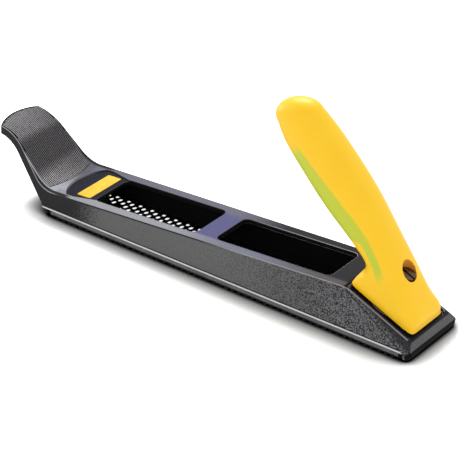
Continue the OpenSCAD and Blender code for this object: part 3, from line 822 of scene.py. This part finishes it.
def plan_outline():
    """Outline from above: the lip's curve, sides clear of the walls, and the rounded heel."""
    cx = LIP_X + LIP_R
    half = BODY_W / 2 + BEAD_OUT
    lip = [(cx + LIP_R * math.cos(a), LIP_R * math.sin(a))
           for a in (math.pi / 2 + math.pi * i / 48 for i in range(49))]
    heel = round_rect(SEAT_TOP_X, -half, BODY_L, half, HEEL_R)
    corner = len(heel) // 4
    low, high = heel[3 * corner:], heel[:corner]
    return lip + [(low[0][0], -LIP_R)] + low + high + [(high[-1][0], LIP_R)]


def end_outline():
    """Outline from the end: inner skirts, ledge with its bead and groove, drafted walls."""
    half = BODY_W / 2
    bead = half + BEAD_OUT
    top = 1.5 * BODY_W
    cut = BEAD_CHAMFER
    right = [(SKIRT_OUT, BLADE_FLOOR - 0.01), (SKIRT_OUT, LEDGE_Z), (bead - cut, LEDGE_Z),
             (bead, LEDGE_Z + cut), (bead, BEAD_TOP - cut), (bead - cut, BEAD_TOP),
             (half_w_at(GROOVE_Z + 0.1) - GROOVE_D, GROOVE_Z), (half_w_at(GROOVE_TOP), GROOVE_TOP),
             (half_w_at(top), top)]
    return right + [(-y, z) for y, z in reversed(right)]


def channel_cut():
    """The hollow under the roof, with the boss that holds the handle's nut left standing."""
    low = BLADE_FLOOR - 1
    inner = half_w_at(LEDGE_Z) - WALL - 0.4
    rise = half_w_at(3 * LEDGE_Z) - half_w_at(LEDGE_Z)
    roof = WALL / math.cos(TOP_RISE)
    seat_roof = (WALL + TROUGH_D) / math.cos(SEAT_SLOPE)
    side = [(CHANNEL_X, low), (CHANNEL_END, low), (CHANNEL_END, seat_at(CHANNEL_END) - seat_roof),
            (SEAT_TOP_X, seat_at(SEAT_TOP_X) - seat_roof),
            (SEAT_TOP_X - 10, top_at(SEAT_TOP_X - 10) - roof), (CHANNEL_X, top_at(CHANNEL_X) - roof)]
    right = [(SKIRT_IN, low - 1), (SKIRT_IN, LEDGE_Z), (inner + 2 * rise, 5 * LEDGE_Z),
             (inner + 2 * rise, 9 * LEDGE_Z)]
    end = right + [(-y, z) for y, z in reversed(right)]
    cut = prism("channel", side, -BODY_W, BODY_W, along_y)
    combine(cut, prism("end", end, 0, BODY_L, along_x), "INTERSECT")
    boss = prism("boss", circle(0, 0, BOSS_R), *BOSS_SPAN, placed(SEAT))
    return combine(cut, boss, "DIFFERENCE")


def flank_cut(side):
    """Cut beside the seat: it leaves a straight rim and a flank that leans out to the ledge."""
    fall = math.cos(SEAT_SLOPE)
    inner, outer = 3.0, BODY_W / 2
    outline = [(side * (SEAT_HALF - inner), inner * fall), (side * (SEAT_HALF + outer), -outer * fall),
               (side * (SEAT_HALF + outer), inner * fall)]
    return prism("flank", outline, SEAT_FRONT - 2 * inner, SEAT_BACK + 2 * inner,
                 lambda a, b, t: tuple(SEAT @ Vector((t, a, b - FOOT_LIFT))))


def trough_cut():
    """The trough round the pad, with an even rim along the seat's sides."""
    front, back, half = SEAT_FRONT + FRONT_RIM_W, SEAT_BACK - RIM_W, SEAT_HALF - RIM_W
    right = [(front, -half), (back - TROUGH_CORNER, -half), (back, TROUGH_CORNER - half)]
    outline = right + [(x, -y) for x, y in reversed(right)]
    cut = prism("trough", outline, -TROUGH_D - FOOT_LIFT, RUN_OUT, placed(SEAT))
    pad = prism("pad", circle(0, 0, PAD_R), -TROUGH_D - 2, -0.05, placed(SEAT))
    return combine(cut, pad, "DIFFERENCE")


def recess_cut():
    """The label's recess: a curved front edge, and sides that close in to the front window."""
    reach = (WINDOW_X - RECESS_X) / math.cos(TOP_RISE)
    half, mouth = RECESS_W / 2, FRONT_WINDOW[1] / 2 - 1
    cut = prism("recess", circle(RECESS_R, 0, RECESS_R, 128), -RECESS_D, 3, placed(on_top(RECESS_X)))
    right = [(-1, -half), (reach / 2, -half), (reach + WINDOW_R, -mouth)]
    sides = right + [(x, -y) for x, y in reversed(right)]
    return combine(cut, prism("sides", sides, -RECESS_D - 1, 4, placed(on_top(RECESS_X))), "INTERSECT")


def body_zone(centre, normal):
    """Which finish a face of the casting has, from where it lies."""
    x, y, z = (centre.x - TOE_X) / MM, centre.y / MM, centre.z / MM
    depth = half_w_at(z) - abs(y)
    on_seat = x > SEAT_TOP_X + 3
    beside_rim = abs(y) > SEAT_HALF - 0.5 and normal.y * y > 0 and normal.z > 0.1
    if on_seat and normal.z > 0.7 and depth > -0.5:
        return "seat"
    if x > BODY_L - HEEL_LEAN - 1 and normal.x > 0.5:
        return "heel" if z > LEDGE_Z + HEEL_FACE_H else "inside"
    if on_seat and beside_rim and z > LEDGE_Z + 0.5:
        return "side"
    if x < HOLLOW_X and normal.z > 0.25 and z > TOP_Z - 1:
        return "rest"
    if normal.z > 0.9 and z > top_at(x) - 0.2:
        return "top"
    if normal.z > 0.9 and z > top_at(x) - RECESS_D - 0.3 and x < WINDOW_X + 1:
        return "recess"
    if LEDGE_Z - 0.1 < z < BEAD_TOP and abs(y) > BODY_W / 2 - 0.1 and x < BODY_L - 4.2:
        return "bead"
    if LEDGE_Z < z < GROOVE_TOP and abs(normal.y) < 0.9 and depth < 0.9:
        return "groove"
    if x < 8 and (z > 6 or normal.x < -0.5):
        return "side"
    return "inside" if depth > 0.9 else "side"


def end_lips(body):
    """Closes the ledge before and behind the blade."""
    half = BODY_W / 2
    for x0, x1 in ((NOSE_X, BLADE_X - BLADE_GAP), (BLADE_X + BLADE_L + BLADE_GAP, BODY_L)):
        lip = [(x0, -half), (x1, -half), (x1, half), (x0, half)]
        end = prism("lip", lip, BLADE_FLOOR, LEDGE_Z + 0.3, along_z)
        combine(end, prism("plan", plan_outline(), 0, 2 * BODY_W, along_z), "INTERSECT")
        combine(body, end, "UNION")


def window_cuts(body):
    rear_x = WINDOW_X + FRONT_WINDOW[0] + BRIDGE_L
    for x, (length, width) in ((WINDOW_X, FRONT_WINDOW), (rear_x, REAR_WINDOW)):
        hole = round_rect(x, -width / 2, x + length, width / 2, WINDOW_R)
        combine(body, prism("window", hole, LEDGE_Z + 2, BODY_W, along_z), "DIFFERENCE")


def nose_bores(body):
    """Spot face and hole of the tension screw."""
    spot = circle(0, TENSION_Z, SPOT_FACE_R)
    combine(body, prism("spot", spot, -RUN_OUT, TENSION_BORE_X, along_x), "DIFFERENCE")
    bore = circle(0, TENSION_Z, TENSION_HOLE_R)
    combine(body, prism("bore", bore, 0, CHANNEL_X + 1, along_x), "DIFFERENCE")


def casting():
    body = prism("casting", side_outline(), -BODY_W, BODY_W, along_y)
    combine(body, prism("plan", plan_outline(), 0, 2 * BODY_W, along_z), "INTERSECT")
    combine(body, prism("end", end_outline(), LIP_X - 1, BODY_L + 1, along_x), "INTERSECT")
    end_lips(body)
    combine(body, channel_cut(), "DIFFERENCE")
    window_cuts(body)
    combine(body, recess_cut(), "DIFFERENCE")
    for side in (-1, 1):
        combine(body, flank_cut(side), "DIFFERENCE")
    combine(body, trough_cut(), "DIFFERENCE")
    nose_bores(body)
    clean(body)
    zones = ("side", "top", "rest", "recess", "seat", "heel", "inside", "bead", "groove", "arris")
    paint(body, *zones)
    for face in body.data.polygons:
        face.material_index = zones.index(body_zone(face.center, face.normal))
    bevel(body, EDGE_R, 2, 24, zones.index("arris"))
    keep_in_box(body)
    smooth(body, 26)
    weigh_normals(body)
    return body


def on_rest(x, y, z):
    """Whether a rib at y runs through a place: inside the lip's curve, the sides and the end curve."""
    margin = LIP_R - RIB_MARGIN
    lip = LIP_X + LIP_R - math.sqrt(margin * margin - y * y)
    low = RIB_END_X - RIB_END_R + math.sqrt(RIB_END_R ** 2 - y * y)
    return lip <= x <= low and abs(y) < half_w_at(z) - RIB_MARGIN


def even_steps(points, step):
    """The points of a curve with more between them, about one step apart."""
    dense = []
    for a, b in zip(points, points[1:]):
        parts = max(1, round(math.dist(a[:2], b[:2]) / step))
        dense += [tuple(p + (q - p) * k / parts for p, q in zip(a, b)) for k in range(parts)]
    return dense + [points[-1]]


def thumb_ribs():
    """Fine grip ribs along the thumb rest, each a half-round ridge with tapered ends."""
    curve = even_steps(rest_curve(26), RIB_STEP)
    n = len(RIB_SECTION)
    verts, faces = [], []
    for i in range(RIB_N):
        y = (i - (RIB_N - 1) / 2) * RIB_PITCH
        stations = [p for p in curve if on_rest(p[0], y, p[1])]
        start = len(verts)
        for k, p in enumerate(stations):
            ends = min(k, len(stations) - 1 - k)
            taper = min(1.0, 0.15 + ends * 0.45)
            for across, up in RIB_SECTION:
                x, z = moved_out(p, up * RIB_H * (taper if up > 0 else 1))
                verts.append((x, y + across * RIB_W, z))
        for k in range(len(stations) - 1):
            for j in range(n - 1):
                a = start + k * n + j
                faces.append((a, a + 1, a + n + 1, a + n))
            a = start + k * n
            faces.append((a + n - 1, a, a + n, a + 2 * n - 1))
        last = start + (len(stations) - 1) * n
        faces.append(tuple(range(start, start + n)))
        faces.append(tuple(range(last, last + n)))
    ribs = make("thumb_rest_ribs", verts, faces)
    paint(ribs, "ribs")
    smooth(ribs, 60)
    return ribs


# Blade

def near_slot(x, y):
    """Whether a hole here would run into one of the two slots."""
    beside = x < FRONT_SLOT[1] + 2 * HOLE_W or x > REAR_SLOT[0] - 2 * HOLE_W
    return beside and abs(y) < SLOT_HALF + HOLE_L


def hole_centres():
    rows = math.floor((BLADE_W / 2 - BLADE_T - HOLE_L / 2 - 0.8) / ROW_PITCH)
    columns = math.ceil(BLADE_L / HOLE_PITCH) + 1
    for r in range(-rows, rows + 1):
        for k in range(-columns, columns + 1):
            x, y = BODY_L / 2 + (k + 0.5) * HOLE_PITCH + r * ROW_SHIFT, -r * ROW_PITCH
            inside = BLADE_X + BLADE_END < x < BLADE_X + BLADE_L - BLADE_END
            if inside and not near_slot(x, y):
                yield x, y


def blade_section():
    """Outline of the folded sheet from the end: floor, round corner, flange with a rolled edge."""
    half = BLADE_W / 2
    out_r, in_r = FOLD_OUT_R, FOLD_IN_R
    outer = [(half - out_r + out_r * math.sin(a), TOOTH_H + out_r - out_r * math.cos(a))
             for a in (math.pi / 2 * i / 5 for i in range(6))]
    roll = [(half, 3.5), (half + 0.22, 3.75), (half + 0.3, 4.05), (half + 0.22, 4.4), (half - 0.1, 4.62),
            (half - 0.45, FLANGE_TOP), (half - BLADE_T, 4.5)]
    inner = [(half - BLADE_T - in_r + in_r * math.sin(a), BLADE_FLOOR + in_r - in_r * math.cos(a))
             for a in (math.pi / 2 * i / 4 for i in range(4, -1, -1))]
    right = outer + roll + inner
    left = [(-y, z) for y, z in reversed(right)]
    return right + left


def oblong(x, y, grow=0.0, steps=6):
    """Outline of one hole, long across the blade."""
    r = HOLE_W / 2 + grow
    reach = (HOLE_L - HOLE_W) / 2
    angles = [math.pi * i / steps for i in range(steps + 1)]
    top = [(r * math.cos(a), reach + r * math.sin(a)) for a in angles]
    return [(x + px, y + py) for px, py in top] + [(x - px, y - py) for px, py in top]


def many(name, outlines, low, high):
    """Many prisms as one mesh, each from a lower and an upper outline."""
    verts, faces = [], []
    for below, above in outlines:
        n, start = len(below), len(verts)
        verts += [(x, y, low) for x, y in below] + [(x, y, high) for x, y in above]
        faces += prism_faces(start, n)
    return make(name, verts, faces)


def blade_sheet():
    sheet = prism("rasp_sheet", blade_section(), BLADE_X, BLADE_X + BLADE_L, along_x)
    half = BLADE_W / 2 + 0.6
    plan = round_rect(BLADE_X, -half, BLADE_X + BLADE_L, half, BLADE_R)
    combine(sheet, prism("plan", plan, 0, 9, along_z), "INTERSECT")
    holes = [(oblong(x, y, HOLE_FLARE), oblong(x, y)) for x, y in hole_centres()]
    combine(sheet, many("holes", holes, TOOTH_H - 0.1, BLADE_FLOOR + 0.1), "DIFFERENCE")
    slots = [round_rect(a, -SLOT_HALF, b, SLOT_HALF, SLOT_R, 4) for a, b in (FRONT_SLOT, REAR_SLOT)]
    combine(sheet, many("slots", [(slot, slot) for slot in slots], 0, 3), "DIFFERENCE")
    clean(sheet)
    paint(sheet, "blade", "flange")
    # The flange's outside gets the lighter copy of the steel, as painted light
    for face in sheet.data.polygons:
        outside = abs(face.center.y) > (BLADE_W / 2 - 0.1) * MM
        face.material_index = int(outside and face.center.z > 2.2 * MM)
    smooth(sheet, 35)
    weigh_normals(sheet)
    return sheet


def raised_teeth(verts, faces):
    """The raised teeth under the blade, one behind each hole."""
    across, along = 6, 3
    n = across + 1
    for hx, hy in hole_centres():
        start = len(verts)
        for i in range(along + 1):
            u = i / along
            x = hx + HOLE_W / 2 + u * TOOTH_L
            for j in range(n):
                v = 2 * j / across - 1
                drop = TOOTH_DROP * (1 - u) ** 1.3 * math.sqrt(max(0.0, 1 - v * v))
                y = hy + v * TOOTH_W / 2 * (1 - 0.35 * u)
                verts.append((x, y, TOOTH_H + 0.03 - drop))
        for i in range(along):
            for j in range(across):
                a = start + i * n + j
                faces.append((a, a + 1, a + n + 1, a + n))
        faces.append(tuple(range(start, start + n)))


def edge_tooth(verts, faces, cx, cy):
    """A round bump under the blade's edge, from rings that shrink to its tip."""
    rings, turns = 5, 10
    length, width, height = EDGE_TOOTH
    start = len(verts)
    for k in range(rings):
        a = math.pi / 2 * k / (rings - 0.5)
        r = math.cos(a)
        for t in range(turns):
            b = 2 * math.pi * t / turns
            x, y = cx + length * r * math.cos(b), cy + width * r * math.sin(b)
            verts.append((x, y, height - height * math.sin(a)))
    for k in range(rings - 1):
        for t in range(turns):
            a, b = start + k * turns + t, start + k * turns + (t + 1) % turns
            faces.append((a, b, b + turns, a + turns))
    faces.append(tuple(range(start, start + turns)))
    faces.append(tuple(range(start + (rings - 1) * turns, start + rings * turns)))


def blade_teeth():
    """The raised teeth under the blade and the bumps along its two edges."""
    verts, faces = [], []
    raised_teeth(verts, faces)
    for i in range(EDGE_TEETH):
        x = BODY_L / 2 + (i - (EDGE_TEETH - 1) / 2) * HOLE_PITCH / 2
        for side in (-1, 1):
            edge_tooth(verts, faces, x, side * (BLADE_W / 2 - EDGE_TOOTH_IN))
    teeth = make("rasp_teeth", verts, faces)
    paint(teeth, "blade")
    smooth(teeth, 50)
    return teeth


def label():
    x = WINDOW_X - LABEL_FROM_WINDOW - LABEL_W / 2
    outline = round_rect(-LABEL_W / 2, -LABEL_L / 2, LABEL_W / 2, LABEL_L / 2, LABEL_R, 6)
    plate = prism("bare_label", outline, -RECESS_D, LABEL_T - RECESS_D, placed(on_top(x)))
    paint(plate, "label")
    bevel(plate, LABEL_EDGE_R, 2, 40)
    smooth(plate)
    return plate


# Handle

def spline(a, b, c, d, t):
    """A value of the smooth curve through four rows of numbers, between the second and the third."""
    return tuple(0.5 * (2 * q + (r - p) * t + (2 * p - 5 * q + 4 * r - s) * t * t
                        + (3 * q - p - 3 * r + s) * t ** 3) for p, q, r, s in zip(a, b, c, d))


def section_at(i, t):
    last = len(SECTIONS) - 1
    return spline(SECTIONS[max(i - 1, 0)], SECTIONS[i], SECTIONS[i + 1], SECTIONS[min(i + 2, last)], t)


def middle(s):
    return Vector(((s[0] + s[2]) / 2, (s[1] + s[3]) / 2))


def tip_section(angle):
    """A section of the round tip, from its start at 0 to its end at a right angle."""
    end = SECTIONS[-1]
    before = section_at(len(SECTIONS) - 2, 0.5)
    way = (middle(end) - middle(before)).normalized()
    m = middle(end) + way * TIP_L * math.sin(angle)
    reach = Vector((end[2] - end[0], end[3] - end[1])) / 2 * math.cos(angle)
    return (m.x - reach.x, m.y - reach.y, m.x + reach.x, m.y + reach.y,
            end[4] * math.cos(angle), end[5])


def soft(value, power):
    return math.copysign(abs(value) ** (2 / power), value)


def section_ring(s, count, inset=0.0, lift=0.0):
    """Points round one section, in the seat's frame. Closer steps fall at the square corners."""
    m = middle(s)
    reach = Vector((s[2] - s[0], s[3] - s[1])) / 2
    shrink = 1 - inset / reach.length
    points = []
    for j in range(count):
        a = 2 * math.pi * j / count
        c = soft(math.cos(a), s[5]) * shrink
        y = (s[4] - inset) * soft(math.sin(a), s[5])
        points.append((m.x + reach.x * c, y, m.y + reach.y * c + lift))
    return points


def handle_rings(count):
    """Rings of points from the foot's chamfer to the tip, in the seat's frame."""
    between, tip_rings = 8, 12
    sections = [section_at(i, k / between) for i in range(len(SECTIONS) - 1) for k in range(between)]
    sections += [SECTIONS[-1]]
    sections += [tip_section(math.pi / 2 * k / tip_rings) for k in range(1, tip_rings)]
    foot = [section_ring(sections[0], count, inset, lift) for inset, lift in FOOT_CHAMFER]
    return foot + [section_ring(s, count) for s in sections[1:]]


def handle_solid():
    """The handle's outside, closed at the foot and at the tip."""
    count = 72
    rings = handle_rings(count)
    tip = tip_section(math.pi / 2)
    points = [p for ring in rings for p in ring] + [(tip[0], 0, tip[1])]
    verts = [tuple(SEAT @ Vector(p)) for p in points]
    faces = [tuple(range(count))]
    for i in range(len(rings) - 1):
        for j in range(count):
            k = (j + 1) % count
            faces.append((i * count + j, (i + 1) * count + j, (i + 1) * count + k, i * count + k))
    last = (len(rings) - 1) * count
    faces += [(last + j, len(verts) - 1, last + (j + 1) % count) for j in range(count)]
    return make("grip_handle", verts, faces)


def handle():
    """The handle with its bore for the bush and the screw's counterbore, whose inside is painted darker
    and orange as shade.
    """
    grip = handle_solid()
    seat = placed(SEAT)
    bore = prism("bore", circle(0, 0, BUSH_R), -1, BORE_FLOOR + 1, seat)
    combine(grip, bore, "DIFFERENCE")
    counterbore = prism("counterbore", circle(0, 0, COUNTERBORE_R, 96), BORE_FLOOR, RUN_OUT, seat)
    combine(grip, counterbore, "DIFFERENCE")
    clean(grip)
    # Painted shade: the counterbore's inside gets a darker, orange copy of the yellow plastic
    paint(grip, "handle", "bore")
    to_seat = (Matrix.Translation(at(0, 0, 0)) @ Matrix.Scale(MM, 4) @ SEAT).inverted()
    for face in grip.data.polygons:
        spot = to_seat @ face.center
        inside = math.hypot(spot.x, spot.y) < COUNTERBORE_R + 0.02
        face.material_index = int(inside and spot.z > BORE_FLOOR - 0.1)
    bevel(grip, MOUTH_R, 3, 38)
    smooth(grip, 40)
    return grip


# Finishes

FINISH = {
    "side": side_coat(),
    "top": top_coat(),
    "rest": rest_coat(),
    "ribs": rib_coat(),
    "recess": coat("recess_paint", (0.024, 0.024, 0.038), (0.006, 0.006, 0.011), 0.8, spec=0.05),
    # Painted shade: the seat's trough near black round the handle's foot
    "seat": coat("seat_shade_paint", (0.012, 0.012, 0.016), (0.005, 0.005, 0.008), 0.6),
    "heel": coat("heel_paint", (0.115, 0.115, 0.12), (0.06, 0.06, 0.065), 0.5),
    # Painted shade in the groove above the bead
    "groove": coat("groove_shade_paint", (0.020, 0.020, 0.022), (0.010, 0.010, 0.012), 0.5),
    # Painted shade: the inside of the channel and other deep faces near black
    "inside": coat("inside_shade_paint", (0.004, 0.004, 0.005), (0.002, 0.002, 0.003), 0.5, 0.8, 1.2, 0.02),
    # Painted highlight along the bead
    "bead": coat("bead_highlight_paint", BEAD_HIGHLIGHT, (0.45, 0.45, 0.46), 0.4, 0.5),
    "arris": arris_light_and_shade(),
    "blade": metal("blade_steel", (0.018, 0.018, 0.021), 0.45, 0.5, (1, 0.2, 1)),
    # A lighter copy of the blade's steel, as painted light on the flange
    "flange": metal("lit_flange_steel", (0.19, 0.19, 0.195), 0.5, 0.6, (0.3, 1, 1), 0.8),
    "label": label_foil(),
    "handle": handle_plastic(),
    # Painted shade: the yellow plastic, darker and orange inside the counterbore
    "bore": coat("shaded_bore_plastic", (0.72, 0.27, 0.030), (0.50, 0.17, 0.02), 0.4, 0.45, 1.5, 0.02, 0.1),
    "zinc": metal("zinc_plate", (0.62, 0.61, 0.58), 0.32, 0.5),
    "spring": metal("spring_steel", (0.16, 0.16, 0.17), 0.4),
    "bronzed": metal("bronzed_steel", (0.15, 0.095, 0.055), 0.34, 0.5),
}


def dress_frame():
    """Finishes of the CAD nodes that stay."""
    finishes = {
        "zinc": ("tension_hook", "tension_nut", "tension_screw", "tension_washer", "handle_bush",
                 "handle_washer", "handle_nut"),
        "spring": ("screw_clip", "lock_washer"),
        "bronzed": ("handle_screw",),
    }
    for finish, nodes in finishes.items():
        for node in nodes:
            paint(NODES[node], finish)


def add_piece(obj, body, slot, *nodes):
    """Rides a piece on its body and takes the place of CAD nodes."""
    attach(obj, body)
    if nodes:
        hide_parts(*nodes)


dress_frame()
add_piece(casting(), "casting", "cast_body", "body_casting")
add_piece(thumb_ribs(), "casting", "cast_body")
add_piece(label(), "casting", "label", "label_plate")
add_piece(blade_sheet(), "casting", "blade_steel", "rasp_blade")
add_piece(blade_teeth(), "casting", "blade_steel")
add_piece(handle(), "grip", "handle_plastic", "handle")


# Stage, lights and camera

FLOOR_LEVEL = 1.6
SHADOW_REACH = 19.0
SHADOW_RAMP = (0.38, 0.98)
SHADOW_POWER = 1.8
FLOOR_HALF = 6.0 / MM
# Painted light and shade under the blade: a card that glows to the camera below the front window, and a
# dark card behind it
CARD = (8.0, -18.0, 97.0, 19.3)
SHADE_CARD = (CARD[2], -18.0, 240.0, 18.0)
CARD_Z = 0.02
SKY = 0.95
KEY_LIGHT = (215, 48, 0.9, (0.5, 0.3), 4.0)
GLINT_LIGHT = (274, 20, 0.8, (0.12, 0.16), 1.0)
SENSOR = 36.0
VIEW_AZIMUTH = math.radians(37.719)
VIEW_ELEVATION = math.radians(30.572)
VIEW_DISTANCE = 1.2696
VIEW_TARGET = at(121.187, 0, 22.293)
FOCAL_PIXELS = 2222.645
FRAME_PIXELS = 458


def direction(azimuth, elevation):
    """Unit vector from the object to a place seen at an azimuth and an elevation."""
    flat = math.cos(elevation)
    return Vector((math.sin(azimuth) * flat, -math.cos(azimuth) * flat, math.sin(elevation)))


def show_to(m, shader, *kinds):
    """Shows a surface's second shader to the given kinds of ray."""
    path = m.add("ShaderNodeLightPath")
    seen = path.outputs[kinds[0]]
    for kind in kinds[1:]:
        seen = m.larger(seen, path.outputs[kind])
    mix = m.add("ShaderNodeMixShader")
    for socket, source in zip(mix.inputs, (seen, m.shader.outputs[0], shader.outputs[0])):
        m.link(source, socket)
    m.link(mix.outputs[0], m.tree.nodes["Material Output"].inputs["Surface"])


def flat(name, x0, y0, x1, y1, z, mat):
    """A flat rectangle that belongs to the stage."""
    obj = make(name, [(x0, y0, z), (x1, y0, z), (x1, y1, z), (x0, y1, z)], [(0, 1, 2, 3)])
    obj.data.materials.append(mat)


def stage():
    """The white floor. The camera sees it brighter, with a deeper shadow close to the object."""
    m = Nodes("white_floor")
    m.set(base=(0.92, 0.92, 0.92), rough=0.9, spec=0.1)
    close = m.add("ShaderNodeAmbientOcclusion", samples=16)
    close.inputs["Distance"].default_value = SHADOW_REACH * MM
    open_air = m.math("POWER", m.ramp(close.outputs["AO"], *SHADOW_RAMP, soft=False), SHADOW_POWER)
    gain = m.add("ShaderNodeBsdfDiffuse")
    shade = m.add("ShaderNodeCombineColor")
    for channel in shade.inputs:
        m.link(m.times(open_air, FLOOR_LEVEL), channel)
    m.link(shade.outputs[0], gain.inputs["Color"])
    show_to(m, gain, "Is Camera Ray")
    flat("floor", -FLOOR_HALF, -FLOOR_HALF, FLOOR_HALF, FLOOR_HALF, 0, m.mat)


def light_and_shade_cards():
    """Cards on the floor: one below the front window that glows to the camera as painted light, and a dark
    one below the rear one as painted shade.
    """
    m = Nodes("glowing_card")
    m.set(base=(0.95, 0.95, 0.95), rough=0.9)
    show_to(m, m.add("ShaderNodeEmission"), "Is Camera Ray", "Is Transmission Ray")
    flat("painted_light_card", *CARD, CARD_Z, m.mat)
    dark = Nodes("painted_shade_card")
    dark.set(base=(0.006, 0.006, 0.008), rough=0.9, spec=0.1)
    flat("painted_shade_card", *SHADE_CARD, CARD_Z, dark.mat)


def world():
    """White to the camera, and a little less bright to all that it lights."""
    sky = bpy.data.worlds.new("studio")
    bpy.context.scene.world = sky
    sky.use_nodes = True
    tree = sky.node_tree
    path = tree.nodes.new("ShaderNodeLightPath")
    seen = tree.nodes.new("ShaderNodeMath")
    seen.operation = "MAXIMUM"
    tree.links.new(path.outputs["Is Camera Ray"], seen.inputs[0])
    tree.links.new(path.outputs["Is Transmission Ray"], seen.inputs[1])
    level = tree.nodes.new("ShaderNodeMapRange")
    level.inputs["To Min"].default_value = SKY
    level.inputs["To Max"].default_value = 1.0
    tree.links.new(seen.outputs[0], level.inputs["Value"])
    back = tree.nodes["Background"]
    back.inputs["Color"].default_value = (1, 1, 1, 1)
    tree.links.new(level.outputs["Result"], back.inputs["Strength"])


def look_back(obj, place, way):
    """Puts a lamp or a camera at a place, looking against a direction."""
    bpy.context.scene.collection.objects.link(obj)
    obj.location = place
    obj.rotation_mode = "QUATERNION"
    obj.rotation_quaternion = way.to_track_quat("Z", "Y")


def lamp(name, azimuth, elevation, distance, size, power):
    """A rectangular lamp that points at the object. Angles are in degrees, lengths in metres."""
    data = bpy.data.lights.new(name, "AREA")
    data.shape = "RECTANGLE"
    data.size, data.size_y = size
    data.energy = power
    obj = bpy.data.objects.new(name, data)
    way = direction(math.radians(azimuth), math.radians(elevation))
    look_back(obj, way * distance, way)


def camera():
    data = bpy.data.cameras.new("camera")
    data.sensor_width = SENSOR
    data.lens = data.sensor_width * FOCAL_PIXELS / FRAME_PIXELS
    data.clip_start, data.clip_end = 0.01, 50
    obj = bpy.data.objects.new("camera", data)
    back = direction(VIEW_AZIMUTH, VIEW_ELEVATION)
    look_back(obj, VIEW_TARGET + back * VIEW_DISTANCE, back)
    bpy.context.scene.camera = obj


stage()
light_and_shade_cards()
world()
lamp("key", *KEY_LIGHT)
lamp("glint", *GLINT_LIGHT)
camera()
bpy.context.scene.view_settings.view_transform = "Standard"
